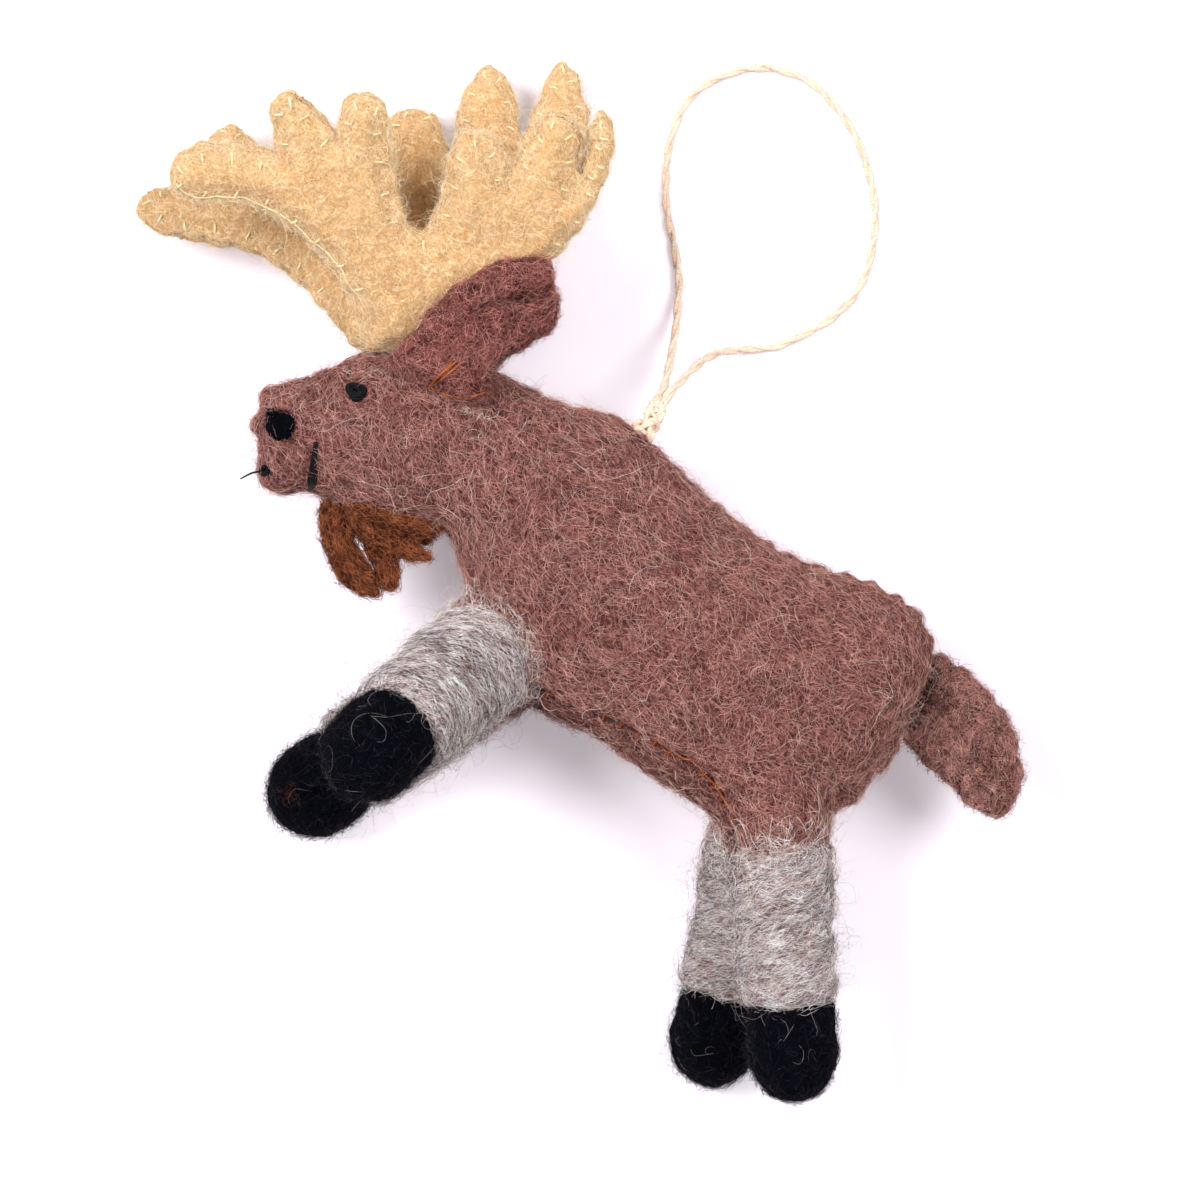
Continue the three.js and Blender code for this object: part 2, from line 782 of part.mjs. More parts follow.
function facePieces() {
  return [
    button("left_eye", EYE_SHARE, EYE_TURN, EYE_RADIUS, EYE_RADIUS),
    button("right_eye", EYE_SHARE, -EYE_TURN, EYE_RADIUS, EYE_RADIUS),
    button("left_nostril", NOSTRIL_SHARE, NOSTRIL_TURN, NOSTRIL_RADIUS, NOSTRIL_THICKNESS),
    button("right_nostril", NOSTRIL_SHARE, -NOSTRIL_TURN, NOSTRIL_RADIUS, NOSTRIL_THICKNESS),
    button("lip_knot", LIP_KNOT_SHARE, LIP_KNOT_TURN, LIP_KNOT_RADIUS, LIP_KNOT_RADIUS),
    mouthStitch("left_mouth_stitch", 1),
    mouthStitch("right_mouth_stitch", -1),
  ];
}

// One layer of an antler: layer 0 is the inner one
function antlerLayer(shares, side, layer, tilt) {
  const outline = shares.map(
    ([x, y]) => new THREE.Vector2(x * ANTLER_SPAN, y * ANTLER_RISE),
  );
  const geometry = new THREE.ExtrudeGeometry(new THREE.Shape(outline), {
    depth: ANTLER_FELT,
    bevelEnabled: false,
  });
  geometry.translate(0, 0, ANTLER_SPREAD / 2 + layer * (ANTLER_FELT + GAP));
  geometry.rotateX(THREE.MathUtils.degToRad(tilt));
  geometry.scale(1, 1, side);
  const seat = pointOn(head, ANTLER_SEAT_SHARE, 0, 0);
  geometry.translate(seat.x, seat.y, seat.z);
  return geometryOf(cutBy(solid(geometry), [headGrown, torsoGrown]));
}

function antlerPieces() {
  const sides = [
    ["left", leftAntlerShares, 1, ANTLER_ANGLE_LEFT],
    ["right", rightAntlerShares, -1, ANTLER_ANGLE_RIGHT],
  ];
  return sides.flatMap(([name, shares, side, tilt]) =>
    ["inner", "outer"].map((which, layer) =>
      piece(`${name}_antler_${which}_felt`, antlerLayer(shares, side, layer, tilt), antlerFelt()),
    ),
  );
}

// A folded ear: its section is an open ring of felt whose fold faces the antlers
function ear(name, side) {
  const seat = pointOn(head, EAR_SEAT_SHARE, 0, 0);
  const form = withLines(
    formOf(earStationShares, {
      x: seat.x,
      y: seat.y - EAR_DROP_SHARE * HEAD_HEIGHT,
      length: EAR_LENGTH,
      height: EAR_RISE,
      depth: EAR_DEPTH,
    }),
  );
  const count = 7;
  const stations = earStationShares.length - 1;
  const rings = earStationShares.map((_, i) => {
    const edge = (grow, reverse) => {
      const points = [];
      for (let j = 0; j <= count; j += 1) {
        const turn = -EAR_OPENING + (2 * EAR_OPENING * j) / count;
        const point = pointOn(form, i / stations, reverse ? -turn : turn, grow);
        point.z = MIDDLE_Z + side * (EAR_OFFSET + point.z - MIDDLE_Z);
        points.push(point);
      }
      return points;
    };
    return [...edge(0, false), ...edge(-EAR_FELT, true)];
  });
  const shape = cutBy(solid(loft(rings)), [headGrown, torsoGrown]);
  const pivot = sectionOf(form, 0, 0).centre;
  pivot.z = MIDDLE_Z + side * (EAR_OFFSET - EAR_DEPTH / 2);
  return hinged(name, pivot, [piece(`${name}_felt`, geometryOf(shape), earFelt())]);
}

// The tail: two felt panels sewn together, on a seam at the rump
function tail() {
  const rump = sectionOf(torso, 1, 0).centre;
  const form = withLines(
    formOf(tailStationShares, {
      x: rump.x,
      y: rump.y,
      length: TAIL_LENGTH,
      height: TAIL_DROP,
      depth: TAIL_DEPTH,
    }),
  );
  const clear = stuffed(
    torso,
    TORSO_RINGS,
    TORSO_SIDES,
    TAIL_CLEARANCE,
    TAIL_CLEARANCE,
    TAIL_CLEARANCE,
  );
  const whole = stuffed(form, 8, 12, 0, 0, 0).subtract(clear);
  const panels = [
    ["tail_left_panel", 1],
    ["tail_right_panel", -1],
  ].map(([name, side]) =>
    piece(name, geometryOf(whole.intersect(halfSpace(side, GAP / 4))), bodyFelt()),
  );
  return hinged("tail", sectionOf(form, 0, 0).centre, panels);
}

// A leg in its own frame, in which Y runs from its pivot to the tip of its hoof
function legGroup(leg) {
  const { name, ball, sleeve, length, hoofLength, hoof, pivot, direction } = leg;
  const bore = LEG_CORE_RADIUS + GAP;
  const sleeveEnd = length - hoofLength;
  const boreTurn = Math.asin(bore / ball);
  const top = arc(ball, boreTurn, Math.PI / 2, 4);
  const wrap = [
    ...top,
    [sleeve, SLEEVE_SWELL_SHARE * sleeveEnd],
    [sleeve, SLEEVE_FULL_SHARE * sleeveEnd],
    [SLEEVE_END_SHARE * sleeve, sleeveEnd],
    [bore, sleeveEnd],
    top[0],
  ];
  const roundLength = hoofLength / 2;
  const round = arc(1, Math.PI / 2, 0, 5).map(([x, y]) => [
    x * hoof,
    length - roundLength - y * roundLength,
  ]);
  round[round.length - 1][0] = 0;
  const hoofTop = sleeveEnd + GAP;
  const hoofProfile = [
    [0, hoofTop + HOOF_HOLE],
    [bore, hoofTop + HOOF_HOLE],
    [bore, hoofTop],
    [HOOF_TOP_SHARE * hoof, hoofTop],
    ...round,
  ];
  const coreStart = top[0][1];
  const coreEnd = hoofTop + HOOF_HOLE - GAP;
  const core = [
    [0, coreStart],
    [LEG_CORE_RADIUS, coreStart],
    [LEG_CORE_RADIUS, coreEnd],
    [0, coreEnd],
  ];
  const lathe = (profile) =>
    new THREE.LatheGeometry(
      profile.map(([radius, along]) => new THREE.Vector2(radius, along)),
      LEG_SIDES,
    );
  const group = new THREE.Group();
  group.name = `${name}_leg`;
  group.position.copy(pivot);
  group.quaternion.setFromUnitVectors(new THREE.Vector3(0, 1, 0), direction);
  group.add(
    piece(`${name}_leg_wrap`, geometryOf(solid(lathe(wrap))), legWool()),
    piece(`${name}_leg_core`, geometryOf(solid(lathe(core))), bodyFelt()),
    piece(`${name}_hoof`, geometryOf(solid(lathe(hoofProfile))), hoofFelt()),
  );
  return group;
}

// A tapered strand of felt along a line
function strand(points, radius) {
  const line = new THREE.CatmullRomCurve3(points);
  const steps = 6;
  const rings = [];
  for (let i = 0; i <= steps; i += 1) {
    const share = i / steps;
    const along = line.getTangent(share);
    const across = along.clone().cross(UP).normalize();
    const reach = radius * (1 - STRAND_TAPER_SHARE * share * share);
    const ring = [];
    for (let j = 0; j < STRAND_SIDES; j += 1) {
      const angle = (2 * Math.PI * (j + 0.5)) / STRAND_SIDES;
      ring.push(
        line
          .getPoint(share)
          .addScaledVector(across, reach * Math.cos(angle))
          .addScaledVector(UP, reach * STRAND_THICKNESS_SHARE * Math.sin(angle)),
      );
    }
    rings.push(ring);
  }
  return solid(loft(rings));
}

// The bell: strands that hang from a band sewn along the throat
function bell() {
  const lift = GAP + BELL_BAND_RADIUS;
  const bandOf = (grow) => {
    const line = [0, 0.33, 0.67, 1].map((share) =>
      pointOn(head, BELL_FRONT_SHARE + share * (BELL_BACK_SHARE - BELL_FRONT_SHARE), 180, lift),
    );
    const along = line.at(-1).clone().sub(line[0]).normalize();
    line[0].addScaledVector(along, -grow);
    line.at(-1).addScaledVector(along, grow);
    const shape = tube(new THREE.CatmullRomCurve3(line), BELL_BAND_RADIUS + grow, STRAND_SIDES, 6);
    return solid(shape);
  };
  const band = bandOf(0);
  const bandGrown = bandOf(GAP);
  const front = pointOn(head, BELL_FRONT_SHARE, 180, lift);
  const strands = bellStrands.map(({ pathShares, widthShare }, i) => {
    const points = pathShares.map(
      ([x, y]) => new THREE.Vector3(front.x + x * BELL_WIDTH, front.y + y * BELL_DROP, front.z),
    );
    const made = strand(points, widthShare * BELL_STRAND_RADIUS).subtract(bandGrown);
    return piece(`bell_strand_${i + 1}`, geometryOf(made), bellFelt());
  });
  return hinged("bell", front, [piece("bell_band", geometryOf(band), bellFelt()), ...strands]);
}

// The knot on the back seam, and the loop of twine that comes out of it
function hangingLoop() {
  const place = pointOn(torso, KNOT_SEAT_SHARE, 0, 0);
  const outward = normalOn(torso, KNOT_SEAT_SHARE, 0);
  place.addScaledVector(outward, KNOT_RADIUS / 2);
  const ball = new THREE.IcosahedronGeometry(KNOT_RADIUS, 1);
  ball.translate(place.x, place.y, place.z);
  const knot = solid(ball).subtract(torsoGrown);
  const line = new THREE.CatmullRomCurve3(TWINE_ROUTE.map(vector));
  const loop = tube(line, TWINE_DIAMETER / 2, TWINE_SIDES, TWINE_STEPS);
  return [
    piece("loop_knot", geometryOf(knot), twine()),
    hinged("loop", place, [piece("hanging_loop", loop, twine())]),
  ];
}

const moose = new THREE.Group();
moose.name = "moose_ornament";
moose.add(
  ...torsoPieces(),
  ...headPieces(),
  ...facePieces(),
  ...antlerPieces(),
  ear("left_ear", 1),
  ear("right_ear", -1),
  tail(),
  ...legs.map(legGroup),
  bell(),
  ...hangingLoop(),
);

export default moose;
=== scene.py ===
"""Looks of a hand-sewn wool felt moose ornament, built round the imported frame.

Lengths are in millimetres until a mesh is made, and Blender's are in metres.
"""

import json
import math

import bpy
import numpy as np
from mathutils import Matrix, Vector, noise
from mathutils.bvhtree import BVHTree


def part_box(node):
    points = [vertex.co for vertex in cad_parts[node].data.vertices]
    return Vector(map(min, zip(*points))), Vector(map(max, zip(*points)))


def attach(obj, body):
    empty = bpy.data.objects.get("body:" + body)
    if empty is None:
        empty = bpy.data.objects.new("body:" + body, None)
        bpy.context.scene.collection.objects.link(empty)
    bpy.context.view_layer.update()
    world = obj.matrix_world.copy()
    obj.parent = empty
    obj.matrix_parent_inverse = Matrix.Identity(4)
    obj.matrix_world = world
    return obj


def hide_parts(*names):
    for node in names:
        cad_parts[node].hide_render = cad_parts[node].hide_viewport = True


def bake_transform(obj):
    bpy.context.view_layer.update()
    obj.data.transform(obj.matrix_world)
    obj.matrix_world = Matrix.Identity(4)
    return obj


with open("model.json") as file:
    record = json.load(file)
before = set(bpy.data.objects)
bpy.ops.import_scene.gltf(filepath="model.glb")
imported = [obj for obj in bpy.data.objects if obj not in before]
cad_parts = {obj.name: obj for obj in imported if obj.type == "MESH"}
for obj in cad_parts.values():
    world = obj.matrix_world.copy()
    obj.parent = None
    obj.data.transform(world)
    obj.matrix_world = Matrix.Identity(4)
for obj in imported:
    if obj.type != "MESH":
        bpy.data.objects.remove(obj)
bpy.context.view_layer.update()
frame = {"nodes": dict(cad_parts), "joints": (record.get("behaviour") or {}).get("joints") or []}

MM = 0.001
QUICK_SHARE = 1.0  # of the loose fibres, while trying things
FLOOR_CLEARANCE = 0.03
MIDDLE_Z = 16.5  # the plane of symmetry
UP = np.array([0.0, 0.0, 1.0])
PATH_STEP = 0.3  # between the points of a seam or a thread
FINE_VOXEL = 0.45
FIBRES_PER_PIECE = 5000
MATERIALS = {}


def linked(name, data):
    """An object of some data, in the scene."""
    made = bpy.data.objects.new(name, data)
    bpy.context.scene.collection.objects.link(made)
    return made


# ---------------------------------------------------------------- camera
CAMERA = np.array([3.22, -3.47, 800.0])
SENSOR = 36
PHOTO_SIDE = 1200
PHOTO_MIDDLE_Z = 17.0
PHOTO_SCALE = 0.1375  # mm to a pixel at PHOTO_MIDDLE_Z

camera = linked("camera", bpy.data.cameras.new("camera"))
camera.location = CAMERA * MM
camera.data.sensor_width = SENSOR
camera.data.lens = SENSOR * (CAMERA[2] - PHOTO_MIDDLE_Z) / (PHOTO_SIDE * PHOTO_SCALE)
camera.data.clip_start = 0.01
camera.data.clip_end = 20
bpy.context.scene.camera = camera


def seen_at(px, py, z):
    """The point at height z that the camera sees at a pixel of the photograph."""
    scale = PHOTO_SCALE * (CAMERA[2] - z) / (CAMERA[2] - PHOTO_MIDDLE_Z)
    half = PHOTO_SIDE / 2
    return np.array([CAMERA[0] + (px - half) * scale, CAMERA[1] + (half - py) * scale, z])


# ---------------------------------------------------------------- curves
def distances(points, path):
    """How far each point is from a path of close points, and the nearest one's index."""
    near, index = [], []
    for part in np.array_split(points, max(1, len(points) // 4000)):
        squares = ((part[:, None] - path[None]) ** 2).sum(2)
        index.append(squares.argmin(1))
        near.append(np.sqrt(squares.min(1)))
    return np.concatenate(near), np.concatenate(index)


def falloff(distance, width):
    """1 at no distance, and next to nothing past twice the width."""
    return np.exp(-((distance / width) ** 2))


def unit(v):
    return v / np.maximum(np.linalg.norm(v, axis=-1, keepdims=True), 1e-12)


def length_of(path):
    """How far each point of a path is along it."""
    return np.concatenate([[0], np.cumsum(np.linalg.norm(np.diff(path, axis=0), axis=1))])


def smooth_line(points, shares):
    """Points at shares of the smooth curve through points."""
    points = np.asarray(points, float)
    before, after = 2 * points[0] - points[1], 2 * points[-1] - points[-2]
    knots = np.vstack([before, points, after])
    place = np.clip(np.asarray(shares, float), 0, 1) * (len(points) - 1)
    first = np.minimum(place.astype(int), len(points) - 2)
    w = (place - first)[:, None]
    a, b, c, d = (knots[first + k] for k in range(4))
    da, db, dc = (
        np.sqrt(np.linalg.norm(q - p, axis=1))[:, None] for p, q in ((a, b), (b, c), (c, d))
    )
    start = ((b - a) / da - (c - a) / (da + db) + (c - b) / db) * db
    end = ((c - b) / db - (d - b) / (db + dc) + (d - c) / dc) * db
    line = b + start * w
    return line + (3 * (c - b) - 2 * start - end) * w**2 + (2 * (b - c) + start + end) * w**3


def evenly(points, spacing=PATH_STEP):
    """The smooth curve through points, sampled at an even spacing."""
    points = np.asarray(points, float)
    apart = np.linalg.norm(np.diff(points, axis=0), axis=1) > 0.05  # others count once
    points = points[np.append(True, apart)]
    fine = smooth_line(points, np.linspace(0, 1, 40 * len(points)))
    along = length_of(fine)
    wanted = np.linspace(0, along[-1], max(3, round(along[-1] / spacing) + 1))
    return np.stack([np.interp(wanted, along, fine[:, k]) for k in range(3)], axis=1)


# ---------------------------------------------------------------- meshes
def mesh_of(name, points, quads=(), triangles=()):
    """A mesh in metres from millimetre points and index arrays."""
    points = np.array(points, float)
    points[:, 2] = np.maximum(points[:, 2], FLOOR_CLEARANCE)
    quads = np.asarray(quads, int).reshape(-1, 4)
    triangles = np.asarray(triangles, int).reshape(-1, 3)
    mesh = bpy.data.meshes.new(name)
    mesh.vertices.add(len(points))
    mesh.vertices.foreach_set("co", (points * MM).astype(np.float32).ravel())
    corners = np.concatenate([quads.ravel(), triangles.ravel()]).astype(np.int32)
    starts = np.concatenate(
        [np.arange(len(quads)) * 4, 4 * len(quads) + np.arange(len(triangles)) * 3]
    ).astype(np.int32)
    mesh.loops.add(len(corners))
    mesh.loops.foreach_set("vertex_index", corners)
    mesh.polygons.add(len(starts))
    mesh.polygons.foreach_set("loop_start", starts)
    mesh.update(calc_edges=True)
    mesh.validate()
    mesh.shade_smooth()
    return mesh


def rough_object(name, points, faces):
    """An object that is only worked on, from lists of points and faces."""
    mesh = bpy.data.meshes.new(name)
    mesh.from_pydata(points, [], faces)
    return linked(name, mesh)


def evaluated(rough):
    """The points and quads that a rough object's modifiers make, without the object."""
    made = rough.evaluated_get(bpy.context.evaluated_depsgraph_get()).to_mesh()
    points = np.zeros(len(made.vertices) * 3, np.float32)
    made.vertices.foreach_get("co", points)
    quads = np.array([p.vertices[:] for p in made.polygons if len(p.vertices) == 4])
    rough.to_mesh_clear()
    mesh = rough.data
    bpy.data.objects.remove(rough)
    bpy.data.meshes.remove(mesh)
    return points.reshape(-1, 3), quads


def loft(rings):
    """A closed solid through rings of equal counts: points and faces."""
    rings = np.asarray(rings, float)
    count, sides = rings.shape[:2]
    points = rings.reshape(-1, 3)
    faces = []
    for i in range(count - 1):
        for j in range(sides):
            k = (j + 1) % sides
            faces.append((i * sides + j, i * sides + k, (i + 1) * sides + k, (i + 1) * sides + j))
    faces.append(tuple(range(sides))[::-1])
    faces.append(tuple((count - 1) * sides + j for j in range(sides)))
    return points, faces


def node_solid(name):
    """A copy of a CAD node's surface, in millimetres."""
    mesh = frame["nodes"][name].data
    points = np.array([v.co[:] for v in mesh.vertices]) / MM
    return points, [tuple(p.vertices) for p in mesh.polygons]


def lathe(profile, start, along, sides=28):
    """A closed solid of radii at distances from start, round the direction along."""
    side = unit(np.cross(along, UP if abs(along[2]) < 0.9 else np.array([1.0, 0, 0])))
    other = np.cross(side, along)
    turn = np.linspace(0, 2 * math.pi, sides, endpoint=False)
    circle = np.cos(turn)[:, None] * side + np.sin(turn)[:, None] * other
    return loft([start + along * at + circle * radius for radius, at in profile])


def ball(centre, radii, sides=20):
    """A closed ellipsoid with radii along X, Y and Z."""
    rows = np.linspace(-1, 1, 12) * 0.97 * math.pi / 2
    profile = [(math.cos(a), math.sin(a)) for a in rows]
    points, faces = lathe(profile, np.zeros(3), UP, sides)
    return points * np.asarray(radii) + np.asarray(centre), faces


def edges_of(quads):
    pairs = np.concatenate([quads[:, [k, (k + 1) % 4]] for k in range(4)])
    return np.unique(np.sort(pairs, axis=1), axis=0)


def neighbour_mean(points, edges):
    count = np.bincount(edges.ravel(), minlength=len(points))
    total = np.stack(
        [
            np.bincount(edges[:, 0], points[edges[:, 1], k], len(points))
            + np.bincount(edges[:, 1], points[edges[:, 0], k], len(points))
            for k in range(points.shape[1])
        ],
        axis=1,
    )
    return total / np.maximum(count, 1)[:, None]


def largest_shell(points, quads):
    """Only the shell with the most points."""
    edges = edges_of(quads)
    label = np.arange(len(points))
    while True:
        lowest = np.minimum(label[edges[:, 0]], label[edges[:, 1]])
        new = label.copy()
        np.minimum.at(new, edges[:, 0], lowest)
        np.minimum.at(new, edges[:, 1], lowest)
        new = new[new]
        if (new == label).all():
            break
        label = new
    kept = label == np.bincount(label).argmax()
    index = np.cumsum(kept) - 1
    return points[kept], index[quads[kept[quads[:, 0]]]]


def soft_noise(points):
    """Smooth noise from -1 to 1 at each point, with a grain of about 1."""
    return np.array([noise.noise(Vector(p)) for p in points])


class Skin:
    """A closed quad surface in millimetres, grown round overlapping solids."""

    def __init__(self, solids, voxel, rounds):
        points, faces, offset = [], [], 0
        for p, f in solids:
            points.append(p)
            faces += [tuple(i + offset for i in face) for face in f]
            offset += len(p)
        rough = rough_object("solids", np.concatenate(points).tolist(), faces)
        remesh = rough.modifiers.new("remesh", "REMESH")
        remesh.mode = "VOXEL"
        remesh.voxel_size = voxel
        points, quads = evaluated(rough)
        self.points, self.quads = largest_shell(points.astype(float), quads)
        self.edges = edges_of(self.quads)
        self.relax(rounds)

    def relax(self, rounds):
        """Smooths without shrinking."""
        for _ in range(rounds):
            for factor in (0.5, -0.52):
                mean = neighbour_mean(self.points, self.edges)
                self.points = self.points + factor * (mean - self.points)

    def push(self, amounts):
        """Moves each point along its normal."""
        a, b, c, d = (self.points[self.quads[:, k]] for k in range(4))
        face = np.cross(c - a, d - b)
        total = np.stack(
            [
                sum(np.bincount(self.quads[:, k], face[:, m], len(self.points)) for k in range(4))
                for m in range(3)
            ],
            axis=1,
        )
        self.points = self.points + unit(total) * np.asarray(amounts)[:, None]

    def clumps(self, *lumps):
        """Soft lumps out of the surface and into it, each set with a size, height and seed."""
        for size, height, seed in lumps:
            self.push(height * soft_noise(self.points / size + seed * 17.3))

    def field(self):
        return Field(self.points, self.quads)


def tubes(paths, radii, sides=3):
    """Closed tubes along paths of equal counts: points, quads and triangles."""
    paths = np.asarray(paths, float)
    count, steps = paths.shape[:2]
    radii = np.broadcast_to(np.asarray(radii, float), (count, steps))
    along = unit(np.gradient(paths, axis=1))
    side = np.broadcast_to(np.array([0.31, 0.57, 0.76]), (count, 3))
    turn = 2 * math.pi * np.arange(sides)[None, :, None] / sides
    rings = []
    for k in range(steps):
        side = unit(side - along[:, k] * (side * along[:, k]).sum(1, keepdims=True))
        other = np.cross(along[:, k], side)
        circle = np.cos(turn) * side[:, None] + np.sin(turn) * other[:, None]
        rings.append(paths[:, k][:, None] + circle * radii[:, k][:, None, None])
    points = np.stack(rings, axis=1).reshape(-1, 3)
    first = (np.arange(count) * steps * sides)[:, None, None]
    ring = (np.arange(steps - 1) * sides)[None, :, None]
    j = np.arange(sides)
    k = (j + 1) % sides
    quads = (first + ring)[..., None] + np.stack([j, k, sides + k, sides + j], -1)
    fan = np.arange(1, sides - 1)
    start_caps = first + np.stack([0 * fan, fan + 1, fan], -1)
    end_caps = first + (steps - 1) * sides + np.stack([0 * fan, fan, fan + 1], -1)
    triangles = np.concatenate([start_caps.reshape(-1, 3), end_caps.reshape(-1, 3)])
    return points, quads.reshape(-1, 4), triangles


def tapered(steps, end):
    """Shares of a thread's thickness that narrow towards both ends."""
    at = np.linspace(-1, 1, steps)
    return end + (1 - end) * np.sqrt(np.maximum(0, 1 - at**2))


# ---------------------------------------------------------------- loose fibres
class Field:
    """A surface that fibres grow on, threads lie on and the camera sees."""

    def __init__(self, points, quads):
        self.points, self.quads = points, quads
        self.bvh = BVHTree.FromPolygons(points.tolist(), quads.tolist())
        a, b, c, d = (points[quads[:, k]] for k in range(4))
        self.areas = np.linalg.norm(np.cross(c - a, d - b), axis=1) / 2
        self.centres = (a + b + c + d) / 4

    def through(self, px, py):
        """The first point on the camera's line through a pixel of the photograph."""
        along = seen_at(px, py, 0) - CAMERA
        hit = self.bvh.ray_cast(Vector(CAMERA), Vector(along / np.linalg.norm(along)))
        return np.array(hit[0]) if hit[0] is not None else None

    def met(self, pixels):
        """Where the camera's lines through pixels meet it, without those that miss it."""
        hits = [self.through(*pixel) for pixel in pixels]
        return np.array([hit for hit in hits if hit is not None]).reshape(-1, 3)

    def nearest(self, points):
        """The nearest points of the surface, and its normals there."""
        found = [self.bvh.find_nearest(p) for p in points.tolist()]
        return np.array([f[0][:] for f in found]), np.array([f[1][:] for f in found])

    def over(self, points, lift):
        """Points laid on the surface, lifted off it."""
        ground, up = self.nearest(points)
        return ground + up * lift

    def starts(self, rng, count, weight):
        """Random points, spread by area and by the weight of each place."""
        chance = self.areas * (1 if weight is None else np.maximum(weight(self.centres), 0))
        picked = rng.choice(len(chance), count, p=chance / chance.sum())
        corners = self.points[self.quads[picked]]
        u, v = rng.random((2, count, 1))
        return (corners[:, 0] * (1 - u) + corners[:, 1] * u) * (1 - v) + (
            corners[:, 3] * (1 - u) + corners[:, 2] * u
        ) * v


def turned(vectors, axes, angles):
    """Unit vectors turned round unit axes that are square to them."""
    return vectors * np.cos(angles)[:, None] + np.cross(axes, vectors) * np.sin(angles)[:, None]


def fibre_paths(
    field, rng, count, length, steps=3, curl=0.5, wobble=0.35, lift=(0, 0.3), ends_up=0.0,
    heading=None, spread=math.pi, weight=None,
):
    """Paths that lie along a skin, in its own mix of directions.

    lift is the least and the most height of a fibre's middle, and ends_up the most by
    which its far end rises.
    """
    starts = field.starts(rng, count, weight)
    place, normal = field.nearest(starts)
    if heading is None:
        along = unit(np.cross(normal, rng.normal(size=(count, 3))))
    else:
        wanted = heading(place, normal)
        along = unit(wanted - normal * (wanted * normal).sum(1, keepdims=True))
        along = turned(along, normal, rng.uniform(-spread, spread, count))
        along = along * np.where(rng.random(count) < 0.5, -1, 1)[:, None]
    lengths = rng.uniform(*length, count)
    bend = rng.normal(0, curl, count)
    middle = rng.uniform(*lift, count)
    end = rng.random(count) ** 3 * ends_up
    paths = []
    for k in range(steps + 1):
        share = k / steps
        height = 0.04 + middle * math.sin(math.pi * share) + end * share**1.6
        paths.append(place + normal * height[:, None])
        along = turned(along, normal, bend + rng.normal(0, wobble, count))
        place, normal = field.nearest(place + along * (lengths / steps)[:, None])
        along = unit(along - normal * (along * normal).sum(1, keepdims=True))
    return np.stack(paths, axis=1)


def strays(field, rng, count, length, reach, curl, weight=None):
    """Curly fibres that leave the surface: paths that wander above it."""
    steps = 12
    starts = field.starts(rng, count, weight)
    place, normal = field.nearest(starts)
    along = unit(np.cross(normal, rng.normal(size=(count, 3))))
    along = unit(along + normal * rng.uniform(0.0, 0.9, (count, 1)))
    axis = unit(normal + rng.normal(0, 0.5, (count, 3)))
    lengths = rng.uniform(*length, count)
    bend = rng.normal(0, curl, count)
    paths = [place]
    for k in range(steps):
        axis = unit(axis - along * (axis * along).sum(1, keepdims=True))
        along = unit(turned(along, axis, bend + rng.normal(0, 0.25, count)))
        place = place + along * (lengths / steps)[:, None]
        ground, up = field.nearest(place)
        height = ((place - ground) * up).sum(1)
        wanted = np.clip(height, 0.08, reach)
        place = place + up * (wanted - height)[:, None]
        paths.append(place)
    return np.stack(paths, axis=1)


def clear_of(paths, marks):
    """Only the fibres that stay off some marks."""
    kept = np.ones(len(paths), bool)
    for path, reach in marks:
        near = np.linalg.norm(paths[:, 0] - path.mean(0), axis=1) < 14
        far, _ = distances(paths[near].reshape(-1, 3), path)
        kept[near] &= (far.reshape(-1, paths.shape[1]) > reach).all(1)
    return paths[kept]


def patchy(size, seed, sharp=3.0):
    """A weight that gathers fibres in patches of a size."""
    def weight(points):
        return np.clip(0.35 + sharp * soft_noise(points / size + seed * 7.1), 0.08, 1.3)
    return weight


class Coat:
    """Makes pieces that ride alike, and the loose fibres of one field; the slot that it is given is
    not used.
    """

    def __init__(self, slot, ride, field=None, rng=None):
        self.slot, self.ride, self.field, self.rng = slot, ride, field, rng

    def piece(self, name, shape, material, stands_for=()):
        """A piece of a Skin, or of points, quads and triangles."""
        if isinstance(shape, Skin):
            shape = shape.points, shape.quads
        mesh = mesh_of(name, *shape)
        mesh.materials.append(MATERIALS[material])
        made = linked(name, mesh)
        if stands_for:
            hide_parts(*stands_for)
        if isinstance(self.ride, str):
            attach(made, self.ride)
        else:
            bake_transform(made)
        return made

    def threads(self, name, paths, radius, material):
        """A row of stitches, or a thread, as one piece."""
        self.piece(name, tubes(paths, radius * tapered(paths.shape[1], 0.5)[None], 6), material)

    def fibres(self, name, paths, radius, material):
        """Fibres of one colour as closed three-sided tubes."""
        thickness = radius * self.rng.uniform(0.7, 1.3, len(paths))[:, None]
        self.piece(name, tubes(paths, thickness * tapered(paths.shape[1], 0.35)[None]), material)

    def lay(self, name, count, radius, material, length, marks=(), **settings):
        """Fibres that lie along the surface, in several pieces where they are many."""
        count = int(count * QUICK_SHARE)
        parts = max(1, math.ceil(count / FIBRES_PER_PIECE))
        for k in range(parts):
            paths = fibre_paths(self.field, self.rng, count // parts, length, **settings)
            self.fibres(f"{name}_{k + 1}", clear_of(paths, marks), radius, material)

    def stray(self, name, count, radius, material, length, reach, curl, marks=(), weight=None):
        """Curly fibres that leave the surface, as one piece."""
        count = max(3, int(count * QUICK_SHARE))
        paths = strays(self.field, self.rng, count, length, reach, curl, weight)
        self.fibres(name, clear_of(paths, marks), radius, material)


# ---------------------------------------------------------------- materials
def linear(rgb):
    """Scene-linear colour of an sRGB triple from 0 to 255."""
    return tuple(((c / 255 + 0.055) / 1.055) ** 2.4 if c > 10 else c / 255 / 12.92 for c in rgb)


